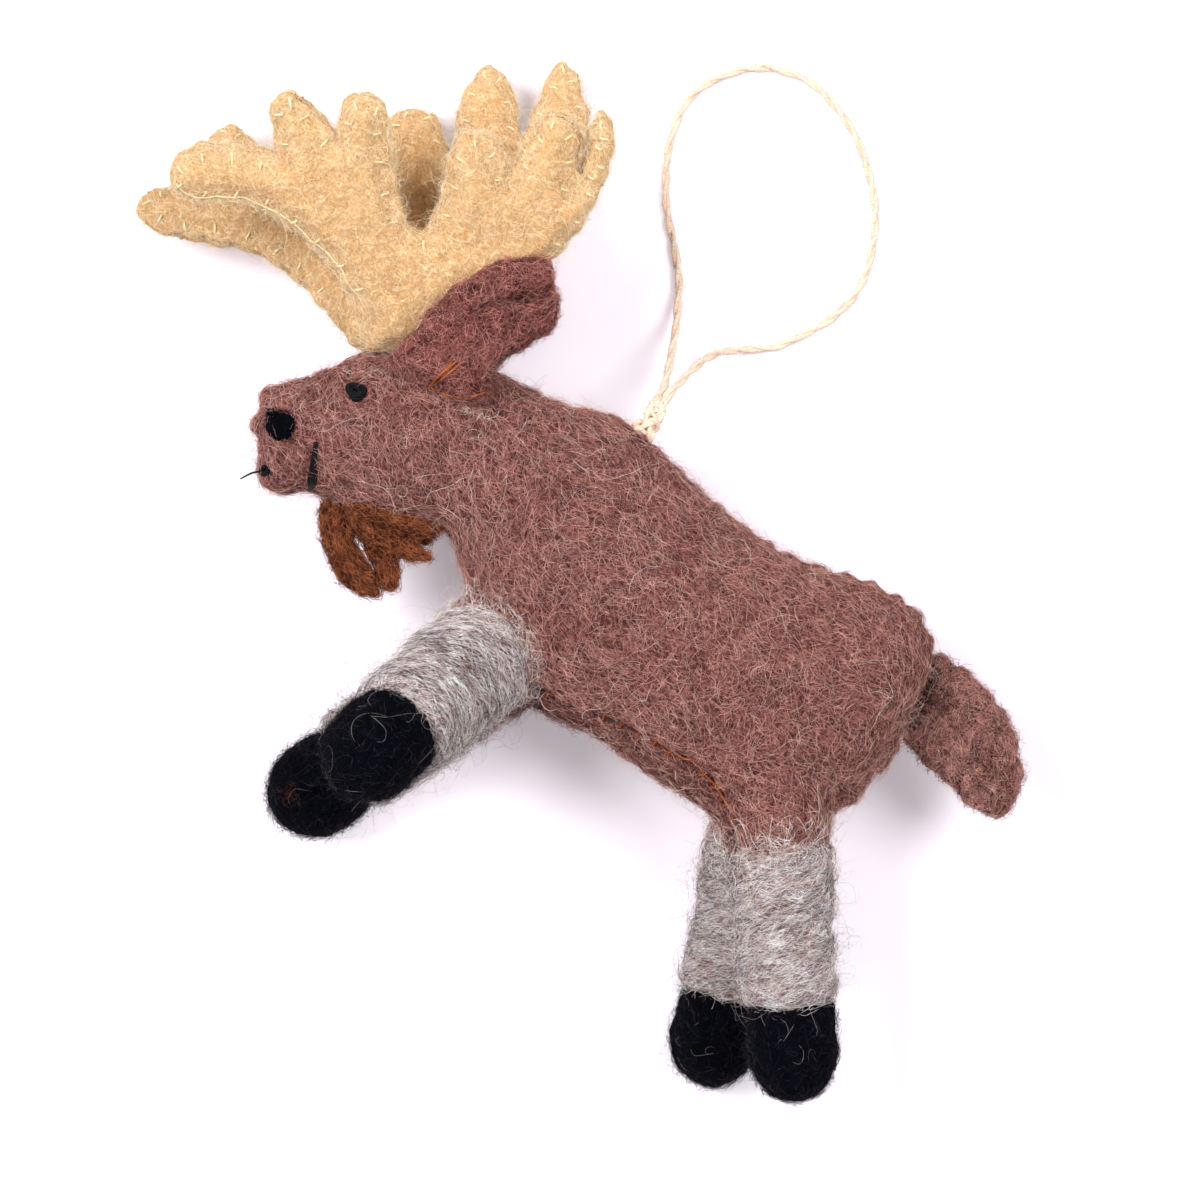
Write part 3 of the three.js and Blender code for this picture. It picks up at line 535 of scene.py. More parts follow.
class Nodes:
    """A material's node tree with short calls."""

    def __init__(self, name, roughness, sheen=0.0, sheen_tint=(1, 1, 1), gloss=0.15):
        self.material = MATERIALS[name] = bpy.data.materials.new(name)
        self.material.use_nodes = True
        self.tree = self.material.node_tree
        self.shader = self.tree.nodes["Principled BSDF"]
        self.shader.inputs["Roughness"].default_value = roughness
        self.shader.inputs["Specular IOR Level"].default_value = gloss
        self.shader.inputs["Sheen Weight"].default_value = sheen
        self.shader.inputs["Sheen Roughness"].default_value = 0.5
        self.shader.inputs["Sheen Tint"].default_value = (*sheen_tint, 1)

    def add(self, kind, inputs=None, **settings):
        node = self.tree.nodes.new(kind)
        for key, value in settings.items():
            setattr(node, key, value)
        for key, value in (inputs or {}).items():
            if isinstance(value, bpy.types.NodeSocket):
                self.tree.links.new(value, node.inputs[key])
            else:
                node.inputs[key].default_value = value
        return node

    def place(self, size=(1, 1, 1), turn=(0, 0, 0), warp=0.0, warp_size=3.0):
        """Object coordinates in units of size mm, bent by soft noise of warp mm."""
        place = self.add("ShaderNodeTexCoord").outputs["Object"]
        if warp:
            bend = self.add(
                "ShaderNodeTexNoise", {"Vector": place, "Scale": 1 / (warp_size * MM), "Detail": 1}
            )
            centred = self.add(
                "ShaderNodeVectorMath", {0: bend.outputs["Color"], 1: (0.5,) * 3},
                operation="SUBTRACT",
            )
            scaled = self.add(
                "ShaderNodeVectorMath", {0: centred.outputs[0], "Scale": warp * MM},
                operation="SCALE",
            )
            place = self.add(
                "ShaderNodeVectorMath", {0: place, 1: scaled.outputs[0]}, operation="ADD"
            ).outputs[0]
        rotated = self.add("ShaderNodeMapping", {"Vector": place, "Rotation": turn})
        return self.add(
            "ShaderNodeMapping",
            {"Vector": rotated.outputs[0], "Scale": tuple(1 / (s * MM) for s in size)},
        ).outputs[0]

    def noise(self, vector, detail=2.0, roughness=0.55):
        return self.add(
            "ShaderNodeTexNoise",
            {"Vector": vector, "Scale": 1, "Detail": detail, "Roughness": roughness},
        ).outputs["Fac"]

    def between(self, value, low, high, out_low=0.0, out_high=1.0):
        inputs = {"Value": value, "From Min": low, "From Max": high}
        inputs |= {"To Min": out_low, "To Max": out_high}
        return self.add("ShaderNodeMapRange", inputs).outputs[0]

    def mix(self, share, a, b):
        made = self.add("ShaderNodeMix", data_type="RGBA")
        for socket, value in zip((made.inputs[0], made.inputs[6], made.inputs[7]), (share, a, b)):
            if isinstance(value, bpy.types.NodeSocket):
                self.tree.links.new(value, socket)
            else:
                socket.default_value = value if isinstance(value, float) else (*value, 1)
        return made.outputs[2]

    def math(self, operation, a, b):
        return self.add("ShaderNodeMath", {0: a, 1: b}, operation=operation).outputs[0]

    def colour(self, socket):
        self.tree.links.new(socket, self.shader.inputs["Base Color"])

    def bump(self, height, distance, strength):
        made = self.add(
            "ShaderNodeBump", {"Height": height, "Distance": distance * MM, "Strength": strength}
        )
        self.tree.links.new(made.outputs[0], self.shader.inputs["Normal"])


STREAK_TURNS = ((0, 0, 0.3), (0.9, 0.4, 1.4), (0.2, 1.1, 2.5))
CLUMP = 2.6
GRAIN = 0.22


def felt(name, dark, middle, light, streak=0.5, sheen=0.08, depth=0.3, gloss=0.15):
    """Matted wool: soft clumps, pits darkened by painted shade and fine lighter fibres in every
    direction.
    """
    dark, middle, light = linear(dark), linear(middle), linear(light)
    n = Nodes(name, 0.96, sheen, light, gloss)
    clumps = n.noise(n.place((CLUMP,) * 3, warp=1.5), 3)
    colour = n.mix(n.between(clumps, 0.3, 0.7), dark, middle)
    fine = n.noise(n.place((GRAIN * 2,) * 3), 3, 0.7)
    # Painted shade: the colour goes dark where the fine noise is low, which is where the bump dips
    colour = n.mix(n.between(fine, 0.35, 0.62, 0.0, 0.7), dark, colour)
    height = fine
    for i, turn in enumerate(STREAK_TURNS):
        vector = n.place((GRAIN * 9, GRAIN, GRAIN * 3), turn, warp=2.2, warp_size=3.5 + i)
        threads = n.noise(vector, 1)
        colour = n.mix(n.between(threads, 0.55, 0.72, 0.0, streak), colour, light)
        height = n.math("ADD", height, n.math("MULTIPLY", threads, 0.6))
    n.colour(colour)
    n.bump(height, depth, 0.8)


def fibre_wool(name, rgb, spread=0.25, gloss=0.15):
    """Loose fibres of about one colour."""
    colour = linear(rgb)
    n = Nodes(name, 0.75, 0.1, colour, gloss)
    shades = n.noise(n.place((1.7,) * 3), 2)
    dark = tuple(c * (1 - spread) for c in colour)
    light = tuple(min(1, c * (1 + spread)) for c in colour)
    n.colour(n.mix(n.between(shades, 0.35, 0.65), dark, light))


def thread(name, rgb, sheen=0.2):
    """Sewing thread or twine: fine fibres along it, with painted shade in its hollows."""
    colour = linear(rgb)
    n = Nodes(name, 0.7, sheen, colour)
    fine = n.noise(n.place((0.5, 0.2, 0.2), warp=0.5), 3)
    # Painted shade: the colour goes darker where the bump's height is low
    n.colour(n.mix(n.between(fine, 0.3, 0.5), tuple(c * 0.55 for c in colour), colour))
    n.bump(fine, 0.1, 0.5)


felt("body_felt", (60, 28, 28), (138, 82, 75), (196, 140, 130))
felt("ear_felt", (70, 30, 30), (132, 70, 64), (186, 124, 114))
felt("antler_felt", (190, 145, 93), (234, 194, 146), (250, 227, 187), depth=0.14)
felt("bell_felt", (52, 24, 14), (120, 64, 40), (174, 104, 66), streak=0.35)
felt("leg_wool", (108, 82, 80), (206, 175, 172), (252, 230, 227), streak=0.6)
felt("hoof_felt", (2, 3, 7), (7, 8, 15), (24, 25, 36), streak=0.25, sheen=0.02, gloss=0.05)
for name, rgb in {
    "body": (166, 108, 98), "body_light": (214, 166, 154), "body_dark": (84, 42, 40),
    "ear": (166, 98, 90), "ear_light": (214, 152, 142), "ear_dark": (58, 27, 27),
    # antler_shade is painted shade, and bell_dark is partly painted shade
    "antler_shade": (222, 176, 118), "bell": (172, 100, 64), "bell_dark": (58, 29, 19),
    # The hooves' pale bluish colour partly stands for glints
    "hoof_light": (62, 66, 86), "hoof_curl": (136, 128, 124), "hoof_red": (82, 38, 34),
    # The hooves' rim colour is partly a painted sheen
    "hoof_halo": (52, 48, 54), "hoof_rim": (74, 66, 68), "leg_light": (255, 236, 231),
    "leg_dark": (98, 79, 80), "leg_halo": (168, 154, 150), "cream": (226, 212, 198),
}.items():
    fibre_wool(f"{name}_fibre", rgb)
fibre_wool("hoof_fibre", (9, 10, 20), gloss=0.05)
fibre_wool("antler_fibre", (246, 212, 166), 0.15)
fibre_wool("body_fuzz", (210, 162, 153), 0.15)
fibre_wool("antler_fuzz", (255, 236, 204), 0.1)
thread("black_thread", (13, 13, 18), sheen=0.02)
for name, rgb in {
    "cream_thread": (246, 228, 182), "orange_thread": (170, 90, 46), "brown_thread": (84, 48, 46),
    "rust_thread": (150, 74, 42), "dark_thread": (54, 30, 30), "twine": (243, 217, 194),
}.items():
    thread(name, rgb)

# ---------------------------------------------------------------- twine
TWINE_ROUTE = [
    (9.63, 21.92, 16.75), (10.1, 22.8, 16.3), (11.1, 24.2, 14.6), (12.2, 26.3, 11.8),
    (13, 29.8, 8.2), (13.7, 33.5, 4.6), (14.1, 37.5, 2), (14.3, 41.3, 0.9), (13.7, 45.8, 0.7),
    (12.5, 52.5, 0.7), (12.9, 60.1, 0.7), (15.3, 66.2, 0.7), (18, 68.8, 0.7), (20.9, 70.2, 0.7),
    (23.9, 71.1, 0.7), (26.9, 71.2, 0.7), (29.9, 70.5, 0.7), (33, 69, 0.7), (35.9, 66.2, 0.7),
    (38.2, 63.1, 0.7), (39.9, 59.7, 0.7), (41.8, 51.8, 0.7), (41.3, 45.1, 0.7),
    (40.1, 41.3, 0.7), (38.2, 38.4, 0.7), (35.2, 35.7, 0.7), (31.4, 33.6, 0.7), (27.6, 32, 0.8),
    (23.8, 31.7, 1.4), (20.8, 31.3, 3.4), (18.6, 30.5, 6), (16.3, 28.7, 9),
    (14.2, 26.5, 11.9), (12.6, 24.5, 14.3), (11.9, 22.8, 15.7), (11.2, 21.08, 16.3),
]
PLY_RADIUS = 0.34
PLY_OFFSET = 0.26
PLY_PITCH = 7.6


def two_ply(path, radius=PLY_RADIUS, offset=PLY_OFFSET, pitch=PLY_PITCH):
    """Two plies twisted round an evenly spaced path."""
    along = unit(np.gradient(path, axis=0))
    side = unit(np.cross(along[0], [0.3, 0.2, 0.9]))
    sides = []
    for direction in along:
        side = unit(side - direction * (side @ direction))
        sides.append(side)
    others = np.cross(along, sides)
    plies = []
    for start in (0, math.pi):
        turn = (start + 2 * math.pi * length_of(path) / pitch)[:, None]
        plies.append(path + offset * (np.cos(turn) * sides + np.sin(turn) * others))
    return tubes(plies, radius, 8)


route = evenly(TWINE_ROUTE, 0.4)
loop_coat = Coat("twine", "loop", rng=np.random.default_rng(120))
twine = loop_coat.piece("twine_loop", two_ply(route), "twine", ["hanging_loop"])

# ---------------------------------------------------------------- forms of the body
TORSO_SHARES = [
    (-0.378, 0.506, -0.484, 0.17, 0.72), (-0.286, 0.455, -0.443, 0.053, 0.84),
    (-0.141, 0.409, -0.408, -0.081, 0.95), (-0.033, 0.323, -0.31, -0.202, 1),
    (0.108, 0.187, -0.18, -0.272, 1), (0.245, 0.102, -0.041, -0.372, 1),
    (0.392, 0.051, 0.122, -0.468, 0.92), (0.48, -0.013, 0.306, -0.43, 0.7),
    (0.504, -0.106, 0.429, -0.298, 0.34),
]
HEAD_SHARES = [
    (-0.452, 0.206, -0.44, -0.269, 0.42), (-0.392, 0.312, -0.364, -0.388, 0.62),
    (-0.28, 0.362, -0.26, -0.369, 0.68), (-0.14, 0.444, -0.14, -0.425, 0.78),
    (0.008, 0.537, 0.02, -0.494, 0.9), (0.18, 0.556, 0.168, -0.556, 0.96),
    (0.36, 0.506, 0.256, -0.581, 0.98),
]
TAIL_SHARES = [
    (0.165, 0.417, -0.105, -0.233, 0.3), (0.345, 0.358, 0.065, -0.417, 0.7),
    (0.585, 0.208, 0.295, -0.592, 1), (0.825, 0.017, 0.485, -0.75, 1),
    (0.985, -0.225, 0.665, -0.883, 0.95), (1.045, -0.525, 0.835, -0.917, 0.8),
    (1.015, -0.75, 0.935, -0.858, 0.4),
]


class Form:
    """A stuffed form between an upper and a lower line, with a depth at each station."""

    def __init__(self, shares, x, y, length, height, depth, more=None):
        shares = np.array(shares)
        place, size = np.array([x, y]), np.array([length, height])
        half = shares[:, 4:] * depth / 2
        self.upper = np.hstack([place + shares[:, :2] * size, half])
        self.lower = np.hstack([place + shares[:, 2:4] * size, 0 * half])
        if more is not None:
            self.upper = np.vstack([self.upper, more.upper[0]])
            self.lower = np.vstack([self.lower, more.lower[0]])

    def sections(self, shares):
        a, b = smooth_line(self.upper, shares), smooth_line(self.lower, shares)
        half = a[:, 2].copy()
        a[:, 2] = b[:, 2] = 0
        centre = (a + b) / 2
        centre[:, 2] = MIDDLE_Z
        return centre, (a - b) / 2, half

    def at(self, share, turn, grow=0.0):
        """A point turned by degrees from the top line down the left side."""
        centre, across, half = (v[0] for v in self.sections([share]))
        across = across * (1 + grow / np.linalg.norm(across))
        angle = math.radians(turn)
        return centre + across * math.cos(angle) + UP * (half + grow) * math.sin(angle)

    def normal(self, share, turn):
        return unit(self.at(share, turn, 0.5) - self.at(share, turn))

    def solid(self, rings, sides):
        centre, across, half = self.sections(np.linspace(0, 1, rings))
        turn = np.linspace(0, 2 * math.pi, sides, endpoint=False)
        return loft(
            centre[:, None]
            + across[:, None] * np.cos(turn)[None, :, None]
            + UP * (half[:, None] * np.sin(turn)[None])[..., None]
        )


torso_form = Form(TORSO_SHARES, x=14.9, y=-4.8, length=67.4, height=64.6, depth=34)
head_form = Form(
    HEAD_SHARES, x=-28.4, y=19.2, length=34.4, height=22, depth=25, more=torso_form
)

joints = {j["child"]: j for j in frame["joints"]}
FRONT = dict(ball=5.9, sleeve=7.1, root=8, length=30, hoof_length=13)
HIND = dict(ball=5.3, sleeve=6.2, root=7.6, length=32.5, hoof_length=13.5)


class Leg:
    """Where a leg comes out of the body, the way it points and its sizes."""

    def __init__(self, name, heading, lift, ball, sleeve, length, hoof_length, root):
        turn, rise = math.radians(heading), math.radians(lift)
        self.pivot = np.array(joints[f"{name}_leg"]["pos_m"]) / MM
        self.along = np.array(
            [math.cos(turn) * math.cos(rise), math.sin(turn) * math.cos(rise), math.sin(rise)]
        )
        self.ball, self.sleeve, self.root = ball, sleeve, root  # radii
        self.length, self.hoof_length = length, hoof_length

    def measure(self, points):
        """How far points are along the leg's axis, and off it."""
        out = (points - self.pivot) @ self.along
        return out, np.linalg.norm(points - self.pivot - out[:, None] * self.along, axis=1)

    def thigh(self):
        """The felt that the leg comes out of."""
        rim = self.ball + 1.35
        profile = [
            (0.5 * self.root, -13), (self.root, -11), (self.root, -5), (rim, 0.2), (rim - 1, 0.9)
        ]
        return lathe(profile, self.pivot, self.along)


LEGS = {
    "front_left": Leg("front_left", 220.9, 40, **FRONT),
    "front_right": Leg("front_right", 215.6, -4.5, **FRONT),
    "hind_left": Leg("hind_left", 274.1, 0, **HIND),
    "hind_right": Leg("hind_right", 257.5, -6.5, **HIND),
}


def bend_to(child, root, along, first, last):
    return "body", child, tuple(root + along * first * MM), tuple(root + along * last * MM)


# ---------------------------------------------------------------- torso and head
STITCH_PITCH = 3.9
even = np.linspace(0, 1, 80)


def middle_line(line, count=80):
    """A form's upper or lower line, in the plane of symmetry."""
    return smooth_line(line, even[:count]) * [1, 1, 0] + UP * MIDDLE_Z


rump_centre, rump_across, _ = torso_form.sections([1.0])
rump_turn = np.linspace(0, math.pi, 12)[:, None]
top_line = [
    middle_line(head_form.upper)[2:-3], middle_line(torso_form.upper)[1:-1],
    rump_centre + rump_across * np.cos(rump_turn),
]
back_edge = evenly(np.concatenate(top_line)[::4])
chest_edge = evenly(middle_line(torso_form.lower, 24)[::4])

GUSSET_PIXELS = [
    (533, 684), (560, 700), (590, 712), (620, 724), (645, 736), (668, 748), (693, 765),
    (712, 781), (727, 806), (739, 843), (742, 860),
]
DIMPLE_PIXEL = (841, 791)
EYE_PIXEL = (360, 394)
NOSTRIL_PIXEL = (281, 426)
NOSTRIL_PIXELS = [
    (267, 413), (281, 412), (292, 416), (295, 425), (290, 437), (279, 440), (269, 432),
]
LIP_PIXEL = (264, 471)
MOUTH_PIXELS = [
    (316, 442), (315, 450), (314, 458), (313, 466), (313, 474), (312, 482), (310, 490),
]


def mirrored(points):
    """The same points on the other side of the body."""
    return np.asarray(points) * [1, 1, -1] + UP * 2 * MIDDLE_Z


def both_sides(path):
    return [path, mirrored(path)]


SIM_SCALE = 4 * MM  # a millimetre while it is simulated, so that the toy has a cushion's size
SIM_FRAMES = 20
SIM_CAP = 0.8  # mm that the filling may push the felt
SIM_START = 0.4  # mm by which the felt starts smaller
SEWN_REACH = 1.3  # of a seam's hold on the felt


def puffed(skin, seams):
    """The skin blown up as cloth between the seams that hold it, as its filling does."""
    felt_cloth = rough_object(
        "felt_cloth", (skin.points * SIM_SCALE).tolist(), skin.quads.tolist()
    )
    sewn = felt_cloth.vertex_groups.new(name="sewn")
    held = distances(skin.points, seams)[0] < SEWN_REACH
    sewn.add(np.flatnonzero(held).tolist(), 1.0, "REPLACE")
    cloth = felt_cloth.modifiers.new("cloth", "CLOTH")
    cloth.settings.vertex_group_mass = "sewn"
    cloth.settings.use_pressure = True
    cloth.settings.uniform_pressure_force = 4
    cloth.settings.effector_weights.gravity = 0
    cloth.point_cache.frame_end = SIM_FRAMES
    for step in range(1, SIM_FRAMES + 1):
        bpy.context.scene.frame_set(step)
    moved = evaluated(felt_cloth)[0] / SIM_SCALE - skin.points
    bpy.context.scene.frame_set(1)
    size = np.linalg.norm(moved, axis=1, keepdims=True)
    skin.points = skin.points + moved * np.minimum(1, SIM_CAP / np.maximum(size, 1e-9))
    skin.relax(2)


# Lobes of the muzzle and a gather of felt where the gusset ends: pixel, height, radii
LOBES = [
    ((256, 426), 1.5, (1.5, 1.75, 2.4)), ((271, 402), 1.0, (2.2, 2.4, 4.5)),
    ((274, 471), 1.0, (2.6, 3.3, 5.0)), ((852, 797), 2.0, (1.7, 1.5, 3.0)),
]
body_solids = [torso_form.solid(48, 40), head_form.solid(48, 40)]
body_solids += [ball(seen_at(*pixel, MIDDLE_Z + rise), radii) for pixel, rise, radii in LOBES]
body_solids += [leg.thigh() for leg in LEGS.values()]
felt_sack = Skin(body_solids, 1.2, 4)
felt_sack.push(np.full(len(felt_sack.points), -SIM_START))
sack = felt_sack.field()
held = [back_edge, chest_edge, *both_sides(evenly(sack.met(GUSSET_PIXELS)))]
for pixels in ([DIMPLE_PIXEL], [EYE_PIXEL], [NOSTRIL_PIXEL], [LIP_PIXEL], MOUTH_PIXELS):
    held += both_sides(sack.met(pixels))
for leg in LEGS.values():
    out, off = leg.measure(felt_sack.points)
    held.append(felt_sack.points[(out > -2) & (off < 10)])
puffed(felt_sack, np.concatenate(held))
body_solids = [(felt_sack.points, felt_sack.quads.tolist())]
body_skin = Skin(body_solids, FINE_VOXEL, 12)
body_skin.clumps((7.0, 0.6, 1))


def scallop(skin, edge, height, tight=1.0):
    """Raises the panels' sewn edges, which each stitch draws in."""
    far, index = distances(skin.points, edge)
    ridge = falloff(np.abs(skin.points[:, 2] - MIDDLE_Z), 1.1) * (far < 4)
    puff = np.abs(np.sin(math.pi * index * PATH_STEP / STITCH_PITCH))
    skin.push(ridge * tight * height * (puff - 0.25))


for edge in (back_edge, chest_edge):
    # The stitches are tight over the rump and slack along the neck
    tight = 0.3 + 0.7 / (1 + np.exp(-(body_skin.points[:, 0] - 20) / 3))
    scallop(body_skin, edge, 1.2, tight)

bare = body_skin.field()
gusset_seam = evenly(bare.met(GUSSET_PIXELS))
gusset_seams = both_sides(gusset_seam)
for seam in gusset_seams:
    far, _ = distances(body_skin.points, seam)
    body_skin.push(0.5 * falloff(far - 1.7, 0.8) - 1.35 * falloff(far, 0.75))

# A stitch draws the rump in, and others the chest: pixel, depth, reach
PIT_PIXELS = [
    (DIMPLE_PIXEL, 2.2, 1.1), ((470, 524), 1.8, 1.0), ((453, 507), 1.3, 1.0),
    ((474, 566), 1.0, 0.9), ((261, 411), 0.8, 0.7), ((260, 441), 0.8, 0.7),
]
for pixel, depth, reach in PIT_PIXELS:
    for at in np.concatenate(both_sides(bare.met([pixel]))):
        body_skin.push(-depth * falloff(np.linalg.norm(body_skin.points - at, axis=1), reach))

# The muzzle's middle lobe is set off by a notch on each side
for pixel in ((253, 410), (252, 441)):
    aside = (body_skin.points - seen_at(*pixel, MIDDLE_Z))[:, :2]
    body_skin.push(-1.5 * falloff(np.linalg.norm(aside, axis=1), 0.8))

body_skin.clumps((2.2, 0.3, 2), (0.9, 0.18, 3))

BODY_NODES = [
    "torso_left_panel", "torso_right_panel", "belly_gusset", "torso_stuffing",
    "head_left_panel", "head_right_panel", "head_stuffing",
]
body_field = body_skin.field()
body_coat = Coat("body_felt", "body", body_field, np.random.default_rng(11))
body_coat.piece("body_skin", body_skin, "body_felt", BODY_NODES)

# No fibre crosses the face's threads or the dimple, and none starts in a belly seam
face_marks = []
for pixels, reach in (
    ([EYE_PIXEL], 1.3), ([NOSTRIL_PIXEL], 1.35), ([LIP_PIXEL], 0.8), (MOUTH_PIXELS, 0.6),
    ([DIMPLE_PIXEL], 0.7),
):
    line = bare.met(pixels)
    line = evenly(line, 0.4) if len(line) > 2 else line
    face_marks += [(path, reach) for path in both_sides(line) if len(line)]
for path, reach in face_marks + [(seam, 0.75) for seam in gusset_seams]:
    body_field.areas[distances(body_field.centres, path)[0] < reach] = 0
seam_marks = [(part, 0.4) for seam in gusset_seams for part in np.array_split(seam, 5)]


def brushed(points, normals):
    """The way the wool is brushed: along the body, with soft swirls."""
    turn = 1.6 * soft_noise(points / 11) - 1.05
    return np.stack([np.cos(turn), np.sin(turn), 0.3 * np.sin(3 * turn)], 1)


def gusset_shade(points):
    """1 between the belly seams and near them, where darker fibres paint the shade that the gusset
    lies in.
    """
    seam = gusset_seam[::3]
    far, index = distances(points, seam)
    inner = np.abs(points[:, 2] - MIDDLE_Z) < np.abs(seam[index, 2] - MIDDLE_Z) + 0.2
    lower = points[:, 1] < seam[index, 1] + 1
    return (inner & lower & (far < 9)).astype(float)


body_coat.lay(
    "body_fibres", 24000, 0.026, "body_fibre", (1.5, 4), steps=4, lift=(0, 0.22), ends_up=0.9,
    curl=0.12, wobble=0.2, heading=brushed, spread=0.75, marks=face_marks + seam_marks,
)
body_coat.lay(
    "body_dark_fibres", 9000, 0.032, "body_dark_fibre", (1.2, 3), lift=(0, 0.2), ends_up=0.6,
    curl=0.16, wobble=0.25, heading=brushed, spread=0.9, marks=face_marks, weight=patchy(3.2, 1),
)
# Darker fibres on the gusset: painted shade
body_coat.lay(
    "body_gusset_shade_fibres", 1500, 0.03, "body_dark_fibre", (1.2, 3), lift=(0.1, 0.35), ends_up=1.2,
    curl=0.2, wobble=0.3, weight=gusset_shade,
)
body_coat.lay(
    "body_light_fibres", 13000, 0.023, "body_light_fibre", (1.5, 4.5), steps=4, lift=(0.05, 0.4),
    ends_up=1.7, curl=0.16, wobble=0.25, heading=brushed, spread=1.0,
    marks=face_marks + seam_marks,
)
body_coat.lay(
    "body_fuzz", 10000, 0.017, "body_fuzz", (1, 2.4), lift=(0.1, 0.6), ends_up=2.6, curl=0.3,
    wobble=0.4, marks=face_marks + seam_marks,
)
body_coat.stray("body_strays", 150, 0.024, "cream_fibre", (4, 11), 1.6, 0.2, face_marks)
body_coat.stray("body_halo", 650, 0.015, "cream_fibre", (3, 9), 3.2, 0.16, face_marks)
curls = bare.met([(314, 398), (304, 402), (362, 374), (480, 424), (560, 560), (468, 410)])
body_coat.stray(
    "body_curls", 36, 0.026, "cream_fibre", (1.8, 3.6), 0.8, 0.3, face_marks,
    lambda points: (distances(points, curls)[0] < 1.8).astype(float),
)


# ---------------------------------------------------------------- seams
def across_seam(seam, pitch, reach, slant=0.3, lift=0.1):
    """Short stitches over a seam of the body, as paths that lie on its skin."""
    step = np.linalg.norm(seam[1] - seam[0])
    chosen = np.arange(0, len(seam) - 1, round(pitch / step))
    along = unit(np.gradient(seam, axis=0))[chosen]
    side = unit(np.cross(body_field.nearest(seam[chosen])[1], along))
    return np.stack(
        [
            body_field.over(
                seam[chosen] + (side + slant * along) * share * reach,
                lift * (1 - 3.5 * abs(share) ** 3),
            )
            for share in np.linspace(-1, 1, 9)
        ],
        axis=1,
    )


for name, edge, reach in (("back", back_edge, 1.5), ("chest", chest_edge, 1.4)):
    paths = across_seam(edge, STITCH_PITCH, reach)
    body_coat.threads(f"{name}_seam_stitches", paths, 0.2, "brown_thread")
for side, seam in zip(("left", "right"), gusset_seams):
    paths = across_seam(seam, 2.8, 1.1, 0.5, 0.5)
    body_coat.threads(f"{side}_gusset_stitches", paths, 0.18, "rust_thread")
    # A brown thread in the seam's groove: partly a seam thread, partly a painted shadow line along
    # the seam
    path = evenly(body_field.over(seam[::4], 0.1))
    body_coat.threads(f"{side}_gusset_seam_shade_thread", path[None], 0.25, "brown_thread")
    path = evenly(body_field.over(seam[int(0.45 * len(seam)):][::3], 0.4))
    body_coat.threads(f"{side}_gusset_thread", path[None], 0.15, "orange_thread")


# ---------------------------------------------------------------- legs
def round_border(leg, wrap):
    """Both skins round a leg's border, without what the wool covers."""
    points, quads = [], []
    for skin, end in ((body_skin, -1.5), (wrap, 7)):
        out, off = leg.measure(skin.points)
        kept = (out > -7) & (out < end) & (off < leg.ball + 4)
        quads.append(skin.quads[kept[skin.quads].all(1)] + sum(len(p) for p in points))
        points.append(skin.points)
    return Field(np.concatenate(points), np.concatenate(quads))


# Pale hairs that lie on the hooves
HOOF_CURL_PIXELS = {
    "front_left": [
        [(386, 716), (372, 713), (359, 716), (352, 725), (353, 738), (361, 747)],
        [(371, 716), (379, 722), (386, 731), (384, 741), (377, 742)],
        [(371, 716), (388, 717), (405, 714), (417, 713)],
        [(329, 766), (328, 778), (335, 787), (349, 791), (366, 792)],
    ],
    "hind_left": [[(793, 1062), (799, 1064), (803, 1059), (803, 1050), (799, 1045)],
                  [(763, 1008), (761, 1016), (765, 1026)]],
    "hind_right": [[(690, 1048), (694, 1055), (703, 1055), (714, 1053)],
                   [(677, 1056), (682, 1066), (687, 1071)]],
}

